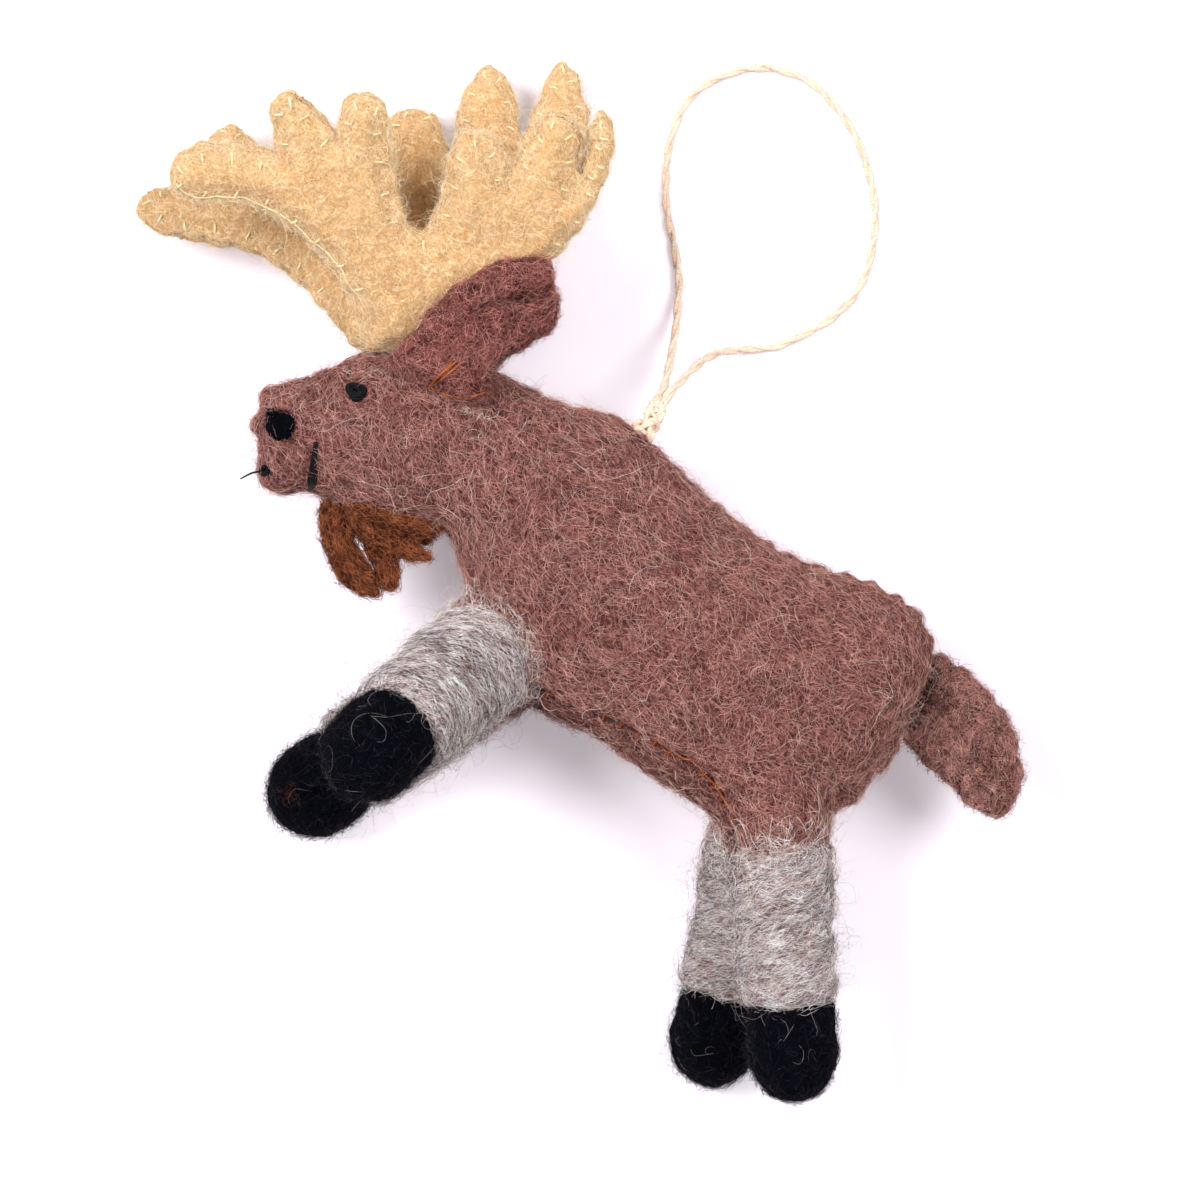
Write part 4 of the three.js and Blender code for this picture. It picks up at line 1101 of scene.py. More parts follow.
for index, (name, leg) in enumerate(LEGS.items()):
    body, rng = f"{name}_leg", np.random.default_rng(50 + index)
    end = leg.length - leg.hoof_length
    rim = leg.ball + 1.5
    profile = [
        (0.6 * leg.ball, -3), (rim - 0.2, -2.2), (rim + 0.2, -0.6), (rim + 0.1, 1.5),
        (leg.sleeve + 0.3, 0.35 * end), (leg.sleeve + 0.1, 0.7 * end),
        (leg.sleeve - 0.1, end - 0.8), (leg.sleeve - 1, end + 0.2), (3, end + 0.4),
    ]
    bend = bend_to(body, leg.pivot * MM, leg.along, 0.5, 9)
    wrap = Skin([lathe(profile, leg.pivot, leg.along, 32)], FINE_VOXEL, 5)
    wrap.clumps((5.0, 0.5, 20 + index))
    # Turns of roving lie round the leg at a slant
    travelled, _ = leg.measure(wrap.points)
    outward = unit(wrap.points - leg.pivot - travelled[:, None] * leg.along)
    slanted = travelled + 2.2 * outward[:, 0] + 1.3 * outward[:, 2]
    turns = outward[:, [0, 2]]
    wrap.push(
        0.5 * soft_noise(np.column_stack([turns * 1.3, slanted / 1.3 + 9 * index]))
        + 0.3 * soft_noise(np.column_stack([turns * 1.8, slanted / 0.6 + 5 * index]))
    )
    coat = Coat("leg_wool", bend, wrap.field(), rng)
    coat.piece(f"{body}_wrap_wool", wrap, "leg_wool", [f"{body}_wrap", f"{body}_core"])

    def round_leg(points, normals):
        slant = 0.3 + 0.2 * np.sin(leg.measure(points)[0] * 0.9)
        return np.cross(leg.along, normals) + slant[:, None] * leg.along

    for tone, count, weight in (("light", 4600, None), ("dark", 2600, patchy(2.6, 30 + index))):
        coat.lay(
            f"{body}_{tone}_fibres", count, 0.024, f"leg_{tone}_fibre", (2.6, 7.5), steps=4,
            lift=(0, 0.35), ends_up=1.5, curl=0.1, wobble=0.2, heading=round_leg, spread=0.5,
            weight=weight,
        )
    if name.endswith("right"):
        # Darker fibres beside the near leg: painted shade in the crevice
        near = LEGS[name.replace("right", "left")]

        def shade_beside_near_leg(points):
            out, off = near.measure(points)
            return falloff(off - near.sleeve - 0.8, 0.9) * (out > 2)

        coat.lay(
            f"{body}_crevice_fibres", 700, 0.028, "leg_dark_fibre", (2.2, 6), steps=4,
            lift=(0.05, 0.5), ends_up=1.0, curl=0.1, wobble=0.2, heading=round_leg, spread=0.9,
            weight=shade_beside_near_leg,
        )
    coat.stray(f"{body}_strays", 180, 0.024, "cream_fibre", (3, 10), 1.7, 0.24)
    coat.stray(f"{body}_halo", 390, 0.016, "leg_halo_fibre", (3, 10), 4.2, 0.24)

    # The brown felt and the grey wool mix along their border
    def near_border(points):
        return np.clip(1.3 - np.abs(leg.measure(points)[0] + 2.6) / 2.6, 0, 1)

    border = Coat("leg_wool", bend, round_border(leg, wrap), rng)
    for tone, material, count in (("brown", "body_fibre", 900), ("grey", "leg_light_fibre", 800)):
        border.lay(
            f"{body}_{tone}_fibres", count, 0.028, material, (2, 5), steps=4, lift=(0, 0.35),
            ends_up=1.2, curl=0.2, wobble=0.3, spread=1.2, weight=near_border,
            heading=lambda points, normals: np.broadcast_to(leg.along, points.shape),
        )
    border.stray(
        f"{body}_border_curls", 200, 0.028, "leg_light_fibre", (2.5, 7), 1.5, 0.4,
        weight=near_border,
    )

    hoof = Skin([node_solid(f"{name}_hoof")], FINE_VOXEL, 12)
    hoof.clumps((3.5, 0.5, 40 + index), (0.9, 0.25, 44 + index))
    coat = Coat("hoof_felt", body, hoof.field(), rng)
    coat.piece(f"{name}_hoof_felt", hoof, "hoof_felt", [f"{name}_hoof"])
    coat.lay(
        f"{name}_hoof_fibres", 3600, 0.024, "hoof_fibre", (1, 2.6), lift=(0, 0.35), ends_up=1.4,
        curl=0.22,
    )
    # Pale bluish fibres over the hoof: partly its paler wool, partly painted glints
    coat.lay(
        f"{name}_hoof_light_fibres", 420, 0.012, "hoof_light_fibre", (0.5, 1.6), lift=(0.05, 0.3),
        ends_up=1.6, curl=0.3, wobble=0.4,
    )
    # Paler fibres where the hoof's surface faces sideways: a painted sheen along its rim, partly
    # its real paler fuzz
    coat.lay(
        f"{name}_hoof_rim_fibres", 420, 0.013, "hoof_rim_fibre", (1, 2.6), lift=(0.05, 0.5),
        ends_up=1.8, curl=0.3, wobble=0.4,
        weight=lambda points: falloff(coat.field.nearest(points)[1][:, 2], 0.3) + 0.03,
    )
    coat.stray(f"{name}_hoof_strays", 7, 0.018, "hoof_curl_fibre", (3, 7), 0.7, 0.3)
    coat.stray(f"{name}_hoof_halo", 124, 0.014, "hoof_halo_fibre", (2, 6), 2.8, 0.2)
    for number, pixels in enumerate(HOOF_CURL_PIXELS.get(name, ()), 1):
        path = evenly(coat.field.met(pixels) + UP * 0.25)
        coat.threads(f"{name}_hoof_curl_{number}", path[None], 0.024, "hoof_curl_fibre")
    if name == "front_right":
        spot = coat.field.through(289, 795)
        paths = fibre_paths(
            coat.field, rng, 45, (0.8, 2), 6, lift=(0.05, 0.4), ends_up=0.6,
            weight=lambda points: (np.linalg.norm(points - spot, axis=1) < 1.3).astype(float),
        )
        coat.fibres(f"{name}_hoof_red_fibres", paths, 0.022, "hoof_red_fibre")


# ---------------------------------------------------------------- antlers
def outline_of(points, faces, outward):
    """The rim of a flat slab's face that looks outward, in order."""
    corners = points[np.array([f[:3] for f in faces])]
    looks = unit(np.cross(corners[:, 1] - corners[:, 0], corners[:, 2] - corners[:, 0]))
    _, where, same = np.unique(
        np.round(points, 3), axis=0, return_index=True, return_inverse=True
    )
    same = same.ravel()
    sides = set()
    for face, look in zip(faces, looks):
        if look @ outward > 0.99:
            for a, b in zip(face, (*face[1:], face[0])):
                sides.add((same[a], same[b]))
    step = {a: b for a, b in sides if (b, a) not in sides}
    loops = []
    while step:
        first, here = next(iter(step.items()))
        loop = [first]
        del step[first]
        while here != first and here in step:
            loop.append(here)
            here = step.pop(here)
        loops.append(loop)
    return points[where[max(loops, key=len)]]


ANTLER_STITCH = 4.1
ANTLER_LAYER = 1.95  # thickness of one of its two layers
SEW_DEPTH = 1.9  # from an antler's edge to the far end of a stitch
VALLEY_PIXEL = (425, 182)
antler_coats = {}
for side, sign, angle in (("left", 1, 22), ("right", -1, 14)):
    tilt = math.radians(angle)
    outward = np.array([0, -math.sin(tilt), sign * math.cos(tilt)])
    rng = np.random.default_rng(70 + sign)
    nodes = [f"{side}_antler_{layer}_felt" for layer in ("inner", "outer")]
    solids = [node_solid(node) for node in nodes]
    rim = outline_of(*solids[1], outward)
    rim_path = evenly(np.vstack([rim, rim[:1]]))
    level = rim[0] @ outward  # of the outer layer's outer face
    seam_level = level - ANTLER_LAYER  # between the two layers

    def from_rim(points, step=1):
        """How far points are from the rim, seen square to the felt, and where along it."""
        flat = points - (points @ outward - level)[:, None] * outward
        return distances(flat, rim_path[::step])

    coats = []
    for outer, (node, solid) in enumerate(zip(nodes, solids)):
        facing = 1 if outer else -1
        skin = Skin([solid], FINE_VOXEL, 8)
        far, index = from_rim(skin.points)
        inside = np.clip(far / 3.2, 0, 1)
        crown = inside * inside * (3 - 2 * inside)
        beyond = np.abs(skin.points @ outward - seam_level)
        moved = np.where(beyond > 1.2, crown - 0.75 * (1 - crown), 0)
        puff = np.abs(np.sin(math.pi * index * PATH_STEP / ANTLER_STITCH))
        skin.push(falloff(far, 1.0) * (0.35 * puff - 0.1))
        skin.points = skin.points + moved[:, None] * outward * facing
        skin.relax(3)
        skin.clumps((8.0, 0.5, 60 + outer), (2.4, 0.16, 62 + outer), (0.9, 0.07, 64 + outer))
        coat = Coat("antler_felt", "body", skin.field(), rng)
        coat.piece(node.replace("_felt", "_skin"), skin, "antler_felt", [node])
        coats.append(coat)

        def exposed(points):
            """1 where the felt isn't pressed against the other layer."""
            return ((points @ outward - seam_level) * facing > 0.45).astype(float)

        coat.lay(
            node.replace("_felt", "_fibres"), 4700, 0.021, "antler_fibre", (1, 3), lift=(0, 0.2),
            ends_up=0.8, curl=0.16, wobble=0.25, weight=exposed,
        )
        coat.lay(
            node.replace("_felt", "_fuzz"), 3200, 0.016, "antler_fuzz", (1.5, 3.6), lift=(0, 0.7),
            ends_up=2.6, curl=0.25, wobble=0.3,
            weight=lambda at: (falloff(from_rim(at, 3)[0], 1.5) + 0.12) * exposed(at),
        )
    inner_coat, outer_coat = coats
    if side == "right":
        # Browner fibres where it shows between the near antler's tines: painted shade in the valley
        valley = seen_at(*VALLEY_PIXEL, 0)

        def shaded_valley(points):
            near = falloff(points[:, 0] - valley[0], 2.6) * falloff(points[:, 1] - valley[1], 5.5)
            return near * (points @ outward < seam_level - 0.8)

        inner_coat.lay(
            "right_antler_valley_fibres", 260, 0.026, "antler_shade_fibre", (1, 2.6),
            lift=(0.05, 0.3), ends_up=0.8, curl=0.16, weight=shaded_valley,
        )
    # Each whip stitch goes over the edge, from one face to the other
    step = round(ANTLER_STITCH / PATH_STEP)
    chosen = np.arange(step // 2, len(rim_path) - step // 2, step)
    along_rim = unit(np.gradient(rim_path, axis=0))
    inward = np.cross(outward, along_rim)
    from_root = np.linalg.norm(rim_path - rim_path[np.argmin(rim_path[:, 1])], axis=1)
    chosen = chosen[from_root[chosen] > 9]
    reaches = rng.uniform(0.85, 1.15, len(chosen))[:, None] * SEW_DEPTH
    slants = rng.uniform(-0.3, 0.6, len(chosen))[:, None]
    drawn = []
    for share in np.linspace(-1, 1, 17):
        inside = abs(share)
        at = rim_path[chosen] + inward[chosen] * reaches * inside
        at = at + along_rim[chosen] * slants * share
        if inside < 0.2:
            drawn.append(at - outward * ANTLER_LAYER + outward * share * 5 + inward[chosen] * 0.3)
            continue
        sunk = 0.3 * max(0, 0.45 - inside) / 0.25 + 0.5 * max(0, inside - 0.88) / 0.12
        if share > 0:
            drawn.append(outer_coat.field.over(at, 0.2 - sunk))
        else:
            at = at - outward * (2 * ANTLER_LAYER)
            drawn.append(inner_coat.field.over(at, 0.2 - sunk))
    outer_coat.threads(f"{side}_antler_stitches", np.stack(drawn, axis=1), 0.19, "cream_thread")
    # A thread runs along the front edge
    front = np.flatnonzero(
        (inward @ np.array([0.45, 0.9, 0]) > 0.25) & (from_root > 6) & (rim_path[:, 0] < -22)
    )
    run = max(np.split(front, np.flatnonzero(np.diff(front) > 1) + 1), key=len)[::4]
    sway = 0.25 * np.sin(np.arange(len(run)) * 0.9)[:, None]
    path = outer_coat.field.over(rim_path[run] + inward[run] * (0.5 + sway), 0.16)
    outer_coat.threads(
        f"{side}_antler_edge_thread", evenly(path, 0.35)[None], 0.12, "cream_thread"
    )
    for coat, layer in zip(coats, ("inner", "outer")):
        coat.stray(
            f"{side}_antler_{layer}_strays", 198, 0.018, "antler_fuzz", (2.5, 8), 2.6, 0.2
        )
    antler_coats[side] = coats

# ---------------------------------------------------------------- ears
EAR_SHARES = [
    (-0.263, 0.164, 0.237, -0.164, 0.9), (-0.1, 0.379, 0.312, 0.093, 1),
    (0.075, 0.607, 0.419, 0.207, 1), (0.281, 0.771, 0.562, 0.314, 0.95),
    (0.5, 0.843, 0.675, 0.407, 0.85), (0.675, 0.829, 0.731, 0.536, 0.72),
]
EAR_OPENING = [(75, 76), (74, 75), (72, 82), (77, 104), (84, 128), (90, 150)]  # degrees
EAR_FELT = 1.5
EAR_OFFSET = 12.2
EAR_SEAM_PIXELS = [
    (392, 360), (404, 368), (418, 374), (431, 379), (445, 387), (457, 393), (469, 398), (482, 396),
    (492, 386),
]
ear_seat = head_form.at(0.793, 0)
ear_form = Form(
    EAR_SHARES, x=ear_seat[0], y=ear_seat[1] - 4.4, length=22, height=19.3, depth=5.5
)


def mirrored_for(side, points, faces):
    """A solid of the left side, or its mirror image for the right side."""
    if side == "left":
        return points, faces
    return mirrored(points), [face[::-1] for face in faces]


ear_rings = []
for share in np.linspace(0, 1, 22):
    stations = np.linspace(0, 1, len(EAR_OPENING))
    first, last = (np.interp(share, stations, column) for column in zip(*EAR_OPENING))
    turns = np.linspace(last, first + 360, 30)
    outer = [ear_form.at(share, turn) for turn in turns]
    inner = [ear_form.at(share, turn, -EAR_FELT) for turn in turns[::-1]]
    ear_rings.append(outer + inner)
ear_points, ear_faces = loft(ear_rings)
ear_points[:, 2] += EAR_OFFSET
ear_fields = []  # of the left ear
for index, side in enumerate(("left", "right")):
    joint = joints[f"{side}_ear"]
    to_tip = unit(np.cross(UP, joint["axis"]))
    to_tip = to_tip * np.sign(to_tip[0])
    bend = bend_to(f"{side}_ear", np.array(joint["pos_m"]), to_tip, -0.5, 4)
    skin = Skin([mirrored_for(side, ear_points, ear_faces)], 0.35, 8)
    skin.clumps((3.5, 0.8, 80 + index), (1.0, 0.25, 82 + index))
    coat = Coat("ear_felt", bend, skin.field(), np.random.default_rng(85 + index))
    coat.piece(f"{side}_ear_skin", skin, "ear_felt", [f"{side}_ear_felt"])
    for tone, count, radius, rises, weight in (
        ("", 4400, 0.026, 1.2, None), ("_dark", 2500, 0.03, 0.8, patchy(2.8, 2, 4.0)),
        ("_light", 3200, 0.021, 1.8, None),
    ):
        coat.lay(
            f"{side}_ear{tone}_fibres", count, radius, f"ear{tone}_fibre", (1.2, 3.6),
            ends_up=rises, curl=0.18, wobble=0.25, weight=weight,
        )

    # Wool matted over the seam between the ear and the head
    seam = both_sides(evenly(bare.met(EAR_SEAM_PIXELS), 0.5))[index]
    swell = 1.25 * tapered(len(seam), 0.45)
    seam = seam + UP * (-0.35 if index else 0.35)
    points, quads, triangles = tubes(seam[None], swell[None], 12)
    skin = Skin([(points, quads.tolist() + triangles.tolist())], 0.3, 4)
    skin.clumps((1.6, 0.5, 87 + index))
    seam_coat = Coat("ear_felt", bend, skin.field(), coat.rng)
    seam_coat.piece(f"{side}_ear_seam_wool", skin, "ear_felt")
    for tone, material, count in (
        ("", "body_fibre", 1500), ("_dark", "body_dark_fibre", 900),
        ("_light", "ear_light_fibre", 500),
    ):
        seam_coat.lay(
            f"{side}_ear_seam{tone}_fibres", count, 0.028, material, (1.2, 3), lift=(0, 0.5),
            ends_up=1.2, curl=0.18, wobble=0.25,
        )
    if side == "left":
        ear_fields = [coat.field, seam_coat.field]

# ---------------------------------------------------------------- tail
tail_form = Form(
    TAIL_SHARES, x=rump_centre[0][0], y=rump_centre[0][1], length=13.8, height=16.5, depth=5
)
tail_skin = Skin([tail_form.solid(32, 28)], 0.4, 10)
for line in (tail_form.upper, tail_form.lower):
    scallop(tail_skin, evenly(middle_line(line)[::4]), 0.5)
tail_skin.clumps((3.0, 0.6, 90), (1.0, 0.25, 91))
bend = bend_to("tail", np.array(joints["tail"]["pos_m"]), unit(np.array([1.0, -0.35, 0])), -1, 3.5)
tail_coat = Coat("body_felt", bend, tail_skin.field(), np.random.default_rng(92))
tail_coat.piece("tail_skin", tail_skin, "body_felt", ["tail_left_panel", "tail_right_panel"])
for tone, material, count, radius, weight in (
    ("", "body_fibre", 3400, 0.027, None),
    ("_dark", "ear_dark_fibre", 1900, 0.032, patchy(2.4, 4, 4.0)),
    ("_light", "body_light_fibre", 2200, 0.023, None), ("_fuzz", "body_fuzz", 2000, 0.016, None),
):
    tail_coat.lay(
        f"tail{tone}_fibres", count, radius, material, (1.2, 3.6), ends_up=1.5, curl=0.16,
        wobble=0.22, weight=weight,
    )


def laid(fields, pixels, lift):
    """Points that lie, with a lift, on whichever surface the camera sees at each pixel."""
    tops = [max((f.met([p]) for f in fields), key=lambda h: h[:, 2].sum()) for p in pixels]
    return np.concatenate(tops) + UP * lift


rump_pixels = [(937, 662), (931, 680), (925, 695), (919, 713), (909, 727)]
rump_seam = evenly(laid([body_field, tail_coat.field], rump_pixels, 0), 0.5)
zigzag = np.where(np.arange(len(rump_seam)) % 4 < 2, 1, -1)[:, None]
zigzag = zigzag * unit(np.cross(np.gradient(rump_seam, axis=0), UP))
rump_seam = evenly(rump_seam + 0.7 * zigzag + UP * 0.5)
for side, path in zip(("left", "right"), both_sides(rump_seam)):
    body_coat.threads(f"{side}_tail_stitches", path[None], 0.3, "dark_thread")

# ---------------------------------------------------------------- bell
# Each strip: its node, its height, and pixels along its middle with its half width there in mm
BELL_STRIPS = [
    ("bell_strand_1", 0.2, [(337, 497, 1.8), (335, 515, 2.0), (337, 532, 2.1), (341, 548, 2.15),
                            (348, 563, 2.1), (359, 577, 2.0), (369, 587, 1.5), (379, 595, 0.5)]),
    ("bell_strand_2", -0.9, [(360, 508, 1.6), (371, 531, 1.7), (380, 549, 1.7), (386, 563, 1.65),
                             (389, 576, 1.8), (395, 588, 0.6)]),
    ("bell_strand_3", 1.5, [(352, 513, 1.3), (371, 527, 1.5), (389, 538, 1.5), (405, 548, 1.3),
                            (417, 554, 0.9), (428, 558, 0.4)]),
    ("bell_strand_4", 2.9, [(352, 499, 1.6), (372, 506, 1.6), (392, 515, 1.5), (412, 523, 1.5),
                            (428, 528, 1.3), (440, 529, 0.8)]),
    ("bell_band", -0.9, [(326, 497, 1.4), (360, 503, 1.8), (395, 511, 1.8), (440, 519, 1.2)]),
]
BELL_FELT = 1.0
for number, (node, lift, stations) in enumerate(BELL_STRIPS):
    middle = [seen_at(px, py, MIDDLE_Z + lift) for px, py, _ in stations]
    even_at = np.linspace(0, 1, 26)
    line = smooth_line(middle, even_at)
    half = np.interp(even_at, np.linspace(0, 1, len(stations)), [w for *_, w in stations])
    half = half * np.sqrt(np.clip(np.minimum(even_at, 1 - even_at) * 14 + 0.15, 0, 1))
    across = unit(np.cross(np.gradient(line, axis=0), UP)) * half[:, None]
    turn = np.linspace(0, 2 * math.pi, 18, endpoint=False)[None, :, None]
    flat = np.sign(np.cos(turn)) * np.abs(np.cos(turn)) ** 0.95
    solids = [loft(line[:, None] + across[:, None] * flat + UP * np.sin(turn) * BELL_FELT)]
    if node == "bell_band":
        solids.append(node_solid(node))
    skin = Skin(solids, 0.3, 5)
    skin.clumps((2.0, 0.4, 95 + number), (0.8, 0.25, 105 + number))
    name = node.replace("bell", "bell_felt")
    coat = Coat("bell_felt", "bell", skin.field(), np.random.default_rng(97 + number))
    coat.piece(name, skin, "bell_felt", [node])
    path = evenly(line[::5], 0.4)
    heads = unit(np.gradient(path, axis=0))

    def shade_by_strip_edge(points):
        return np.clip((distances(points, path)[0] - 0.8) / 0.7, 0.05, 1)

    # Painted shade: the dark fibres gather at each strip's edges, between the strips
    for tone, count, radius, weight in (
        ("", 1350, 0.024, None), ("_dark", 1000, 0.03, shade_by_strip_edge)
    ):
        coat.lay(
            f"{name}{tone}_fibres", count, radius, f"bell{tone}_fibre", (1, 2.6), ends_up=1.5,
            curl=0.15, wobble=0.2, spread=0.6, weight=weight,
            heading=lambda points, normals: heads[distances(points, path)[1]],
        )


# ---------------------------------------------------------------- face
def node_centre(name):
    low, high = (np.array(c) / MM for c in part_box(name))
    return (low + high) / 2


def wound_eye(centre, normal, radius, strand, turns):
    """An eye of wound thread: turns round a small hollow, crossing each other."""
    side = unit(np.cross(normal, [0.3, 1.0, 0.1]))
    other = np.cross(normal, side)
    u = np.linspace(0, turns * 2 * math.pi, turns * 20)
    reach = radius * (0.86 + 0.4 * np.sin(u * 0.61 + 1))
    reach = reach * (1 + 0.13 * np.cos(2 * u + 0.4) + 0.1 * np.cos(3 * u + 1))
    height = 0.32 * np.cos(u * 0.61 + 1) + 0.15 * np.sin(u * 2.3)
    path = (
        centre
        + (reach * np.cos(u))[:, None] * side
        + (reach * np.sin(u) + 0.12 * np.sin(u * 0.5))[:, None] * other
        + height[:, None] * normal
    )
    return tubes(path[None], strand, 6)


nostril_ring = [seen_at(px, py, 0) for px, py in (*NOSTRIL_PIXELS, NOSTRIL_PIXELS[0])]
nostril_ring = evenly(nostril_ring)[:-1]
nostril_rings = []
for share, height in ((1.0, -0.3), (1.0, 0.2), (0.9, 0.75), (0.6, 1.0), (0.25, 1.0)):
    middle = nostril_ring.mean(0)
    lines = unit(middle + (nostril_ring - middle) * share - CAMERA)
    hits = [body_field.bvh.ray_cast(Vector(CAMERA), Vector(line)) for line in lines]
    nostril_rings.append([np.array(h[0]) + np.array(h[1]) * height * 0.6 for h in hits])
mouth = evenly(body_field.met(MOUTH_PIXELS) + UP * 0.32, 0.4)
face_coat = Coat("black_thread", "body")
for side, sign, line in zip(("left", "right"), (1, -1), both_sides(mouth)):
    normal = head_form.normal(0.521, 61 * sign)
    eye = wound_eye(node_centre(f"{side}_eye") - normal * 0.15, normal, 0.98, 0.17, 13)
    face_coat.piece(f"{side}_eye_knot", eye, "black_thread", [f"{side}_eye"])
    skin = Skin([mirrored_for(side, *loft(nostril_rings))], 0.25, 2)
    skin.clumps((0.8, 0.45, 99))
    coat = Coat("black_thread", "body", skin.field(), np.random.default_rng(101))
    coat.piece(f"{side}_nostril_felt", skin, "hoof_felt", [f"{side}_nostril"])
    paths = fibre_paths(coat.field, coat.rng, 240, (0.8, 2), 6, ends_up=0.9)
    coat.fibres(f"{side}_nostril_fibres", paths, 0.04, "hoof_fibre")
    at = np.linspace(0, 1, len(line))
    swell = (0.15 + 0.85 * np.sin(math.pi * at**1.3) ** 0.8)[:, None]
    aside = unit(np.cross(np.gradient(line, axis=0), UP))
    strands = [
        line + aside * (k * swell + 0.1 * np.sin(9 * at + 20 * k)[:, None])
        for k in (-0.42, -0.22, 0, 0.2, 0.4)
    ]
    stitch = tubes(strands, 0.2 * tapered(len(line), 0.3)[None], 7)
    face_coat.piece(f"{side}_mouth_thread", stitch, "black_thread", [f"{side}_mouth_stitch"])

# The lip's knot: great circles of thread that turn a little each time round
lip = node_centre("lip_knot")
u = np.linspace(0, 6 * 2 * math.pi, 6 * 18)
spin, tilt = u * 0.37, 0.6 * np.sin(u * 0.23)
x, y, z = np.cos(u), np.sin(u) * np.cos(tilt), np.sin(u) * np.sin(tilt)
knot = np.stack(
    [x * np.cos(spin) - z * np.sin(spin), y, x * np.sin(spin) + z * np.cos(spin)], 1
)
lip_knot = tubes((knot * 0.63 + lip)[None], 0.22, 6)
face_coat.piece("lip_knot_thread", lip_knot, "black_thread", ["lip_knot"])
loose_end = evenly(
    [lip, lip + [-0.6, -0.1, 0.4], seen_at(252, 473, lip[2] + 0.3), seen_at(240, 479, lip[2] - 0.2)]
)
face_coat.threads("lip_loose_thread", loose_end[None], 0.14, "black_thread")

near_fields = [body_field, antler_coats["left"][1].field]
thread_end = evenly(laid(near_fields, [(424, 317), (409, 341), (395, 364)], 0.3), 0.35)
thread_end += UP * 0.5 * np.sin(np.linspace(0, math.pi, len(thread_end)))[:, None]
Coat("antler_felt", "body").threads("cream_thread_end", thread_end[None], 0.12, "cream_thread")
for number, pixels in enumerate((
    [(457, 361), (450, 367), (443, 373), (436, 379), (430, 385)],
    [(461, 363), (453, 370), (445, 377), (437, 383), (431, 388)],
    [(452, 362), (446, 369), (439, 376), (433, 383), (428, 389)],
    [(430, 385), (436, 391), (447, 395), (461, 398), (474, 396), (486, 392)],
), 1):
    path = evenly(laid([body_field, *ear_fields], pixels, 0.4), 0.35)
    coat = Coat("ear_felt", "body")
    coat.threads(f"ear_root_thread_{number}", path[None], 0.16, "orange_thread")

# ---------------------------------------------------------------- knot of the loop
knot_centre = node_centre("loop_knot")
u = np.linspace(0, 2 * math.pi, 90, endpoint=False)
trefoil = np.stack(
    [np.sin(u) + 2 * np.sin(2 * u), np.cos(u) - 2 * np.cos(2 * u), -1.6 * np.sin(3 * u)], 1
)
knot = two_ply(knot_centre + trefoil * 0.5, 0.36, 0.26, 5.0)
Coat("twine", "body").piece("twine_knot", knot, "twine", ["loop_knot"])
# Both ends of the loop run down into the knot
seat = knot_centre + [0.1, 0.2, 0]
for number, end in enumerate((route[:5], route[::-1][:5]), 1):
    stem = evenly([seat, (seat * 2 + end[0]) / 3, end[0], end[-1]])
    loop_coat.piece(f"twine_stem_{number}", two_ply(stem), "twine")

# A turn of twine holds both ends together above the knot
branches = route[9], route[-10]
turn = np.linspace(0, 5 * math.pi, 60)[:, None]
aside = unit(branches[1] - branches[0])
upwards = unit(np.cross(aside, (branches[0] + branches[1]) / 2 - seat))
wound = seat + (branches[0] + branches[1] - 2 * seat) * 0.4 * turn / turn[-1]
wound = wound + (0.6 + 0.45 * turn / turn[-1]) * (np.cos(turn) * aside + np.sin(turn) * upwards)
loop_coat.piece("twine_wrap", two_ply(evenly(wound), 0.3, 0.22, 4.0), "twine")


def fuzz_along(path, rng, count, length, reach):
    """Fine fibres that lie along a cord and lift off it."""
    heads = unit(np.gradient(path, axis=0))
    picked = rng.integers(0, len(path), count)
    along = heads[picked] * np.where(rng.random(count) < 0.5, -1, 1)[:, None]
    out = unit(np.cross(along, rng.normal(size=(count, 3))))
    lengths = rng.uniform(*length, count)[:, None]
    sways = rng.normal(0, 0.35, (count, 1)) * np.cross(along, out)
    rises = rng.uniform(0.2, 1, (count, 1)) * reach
    return np.stack(
        [
            path[picked] + along * lengths * k + (out * (0.42 + rises * k**1.5) + sways * k**2)
            for k in np.linspace(0, 1, 5)
        ],
        axis=1,
    )


fuzz = fuzz_along(route, loop_coat.rng, int(1500 * QUICK_SHARE), (0.8, 2.4), 0.55)
loop_coat.fibres("twine_fuzz", fuzz, 0.016, "cream_fibre")

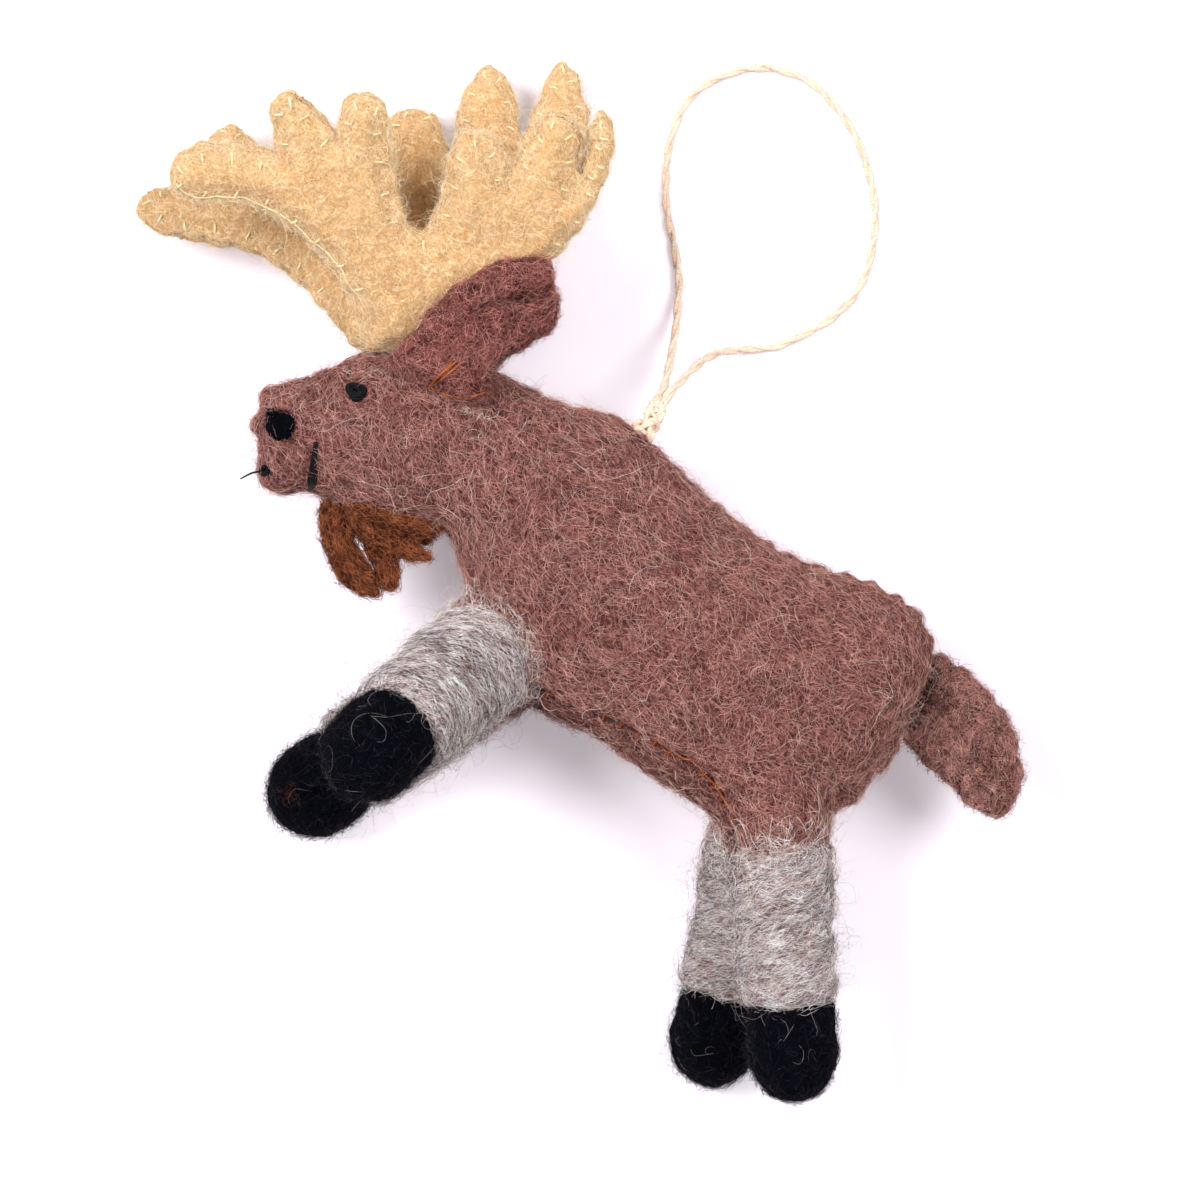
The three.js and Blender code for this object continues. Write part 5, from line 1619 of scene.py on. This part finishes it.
# ---------------------------------------------------------------- floor, lights
floor = rough_object("floor", [(-6, -6, 0), (6, -6, 0), (6, 6, 0), (-6, 6, 0)], [(0, 1, 2, 3)])

n = Nodes("floor_white", 1.0)
n.tree.nodes.remove(n.shader)
paths = n.add("ShaderNodeLightPath").outputs
seen = n.math(
    "MAXIMUM", n.math("MAXIMUM", paths["Is Camera Ray"], paths["Is Glossy Ray"]),
    paths["Is Transmission Ray"],
)
# Far from the object, where the lamps fall off, the paper is white by itself
place = n.add("ShaderNodeTexCoord").outputs["Object"]
far = n.add("ShaderNodeVectorMath", {0: place}, operation="LENGTH").outputs["Value"]
white = n.between(far, 0.25, 0.9, 0.285, 1.0)
paper = n.add("ShaderNodeBsdfDiffuse", {"Color": (0.87, 0.805, 0.885, 1)})
glow = n.add(
    "ShaderNodeEmission", {"Color": (1, 0.94, 1, 1), "Strength": n.math("MULTIPLY", seen, white)}
)
both = n.add("ShaderNodeAddShader", {0: paper.outputs[0], 1: glow.outputs[0]})
output = n.tree.nodes["Material Output"]
n.tree.links.new(both.outputs[0], output.inputs["Surface"])
floor.data.materials.append(n.material)

for name, place, power in (("key", (-0.78, 0.3, 1.15), 21), ("fill", (0.75, 0.24, 1.2), 14.5)):
    light = bpy.data.lights.new(name, "AREA")
    light.shape = "DISK"
    light.size = 0.7
    light.energy = power
    lamp = linked(name, light)
    lamp.location = place
    lamp.rotation_mode = "QUATERNION"
    lamp.rotation_quaternion = (-Vector(place)).to_track_quat("-Z", "Y")

world = bpy.data.worlds.new("world")
bpy.context.scene.world = world
world.use_nodes = True
tree = world.node_tree
background = tree.nodes["Background"]
path = tree.nodes.new("ShaderNodeLightPath")
strength = tree.nodes.new("ShaderNodeMapRange")
strength.inputs["To Min"].default_value = 0.34
strength.inputs["To Max"].default_value = 1.0
tree.links.new(path.outputs["Is Camera Ray"], strength.inputs["Value"])
tree.links.new(strength.outputs[0], background.inputs["Strength"])
background.inputs["Color"].default_value = (1, 1, 1, 1)

bpy.context.scene.view_settings.view_transform = "Standard"
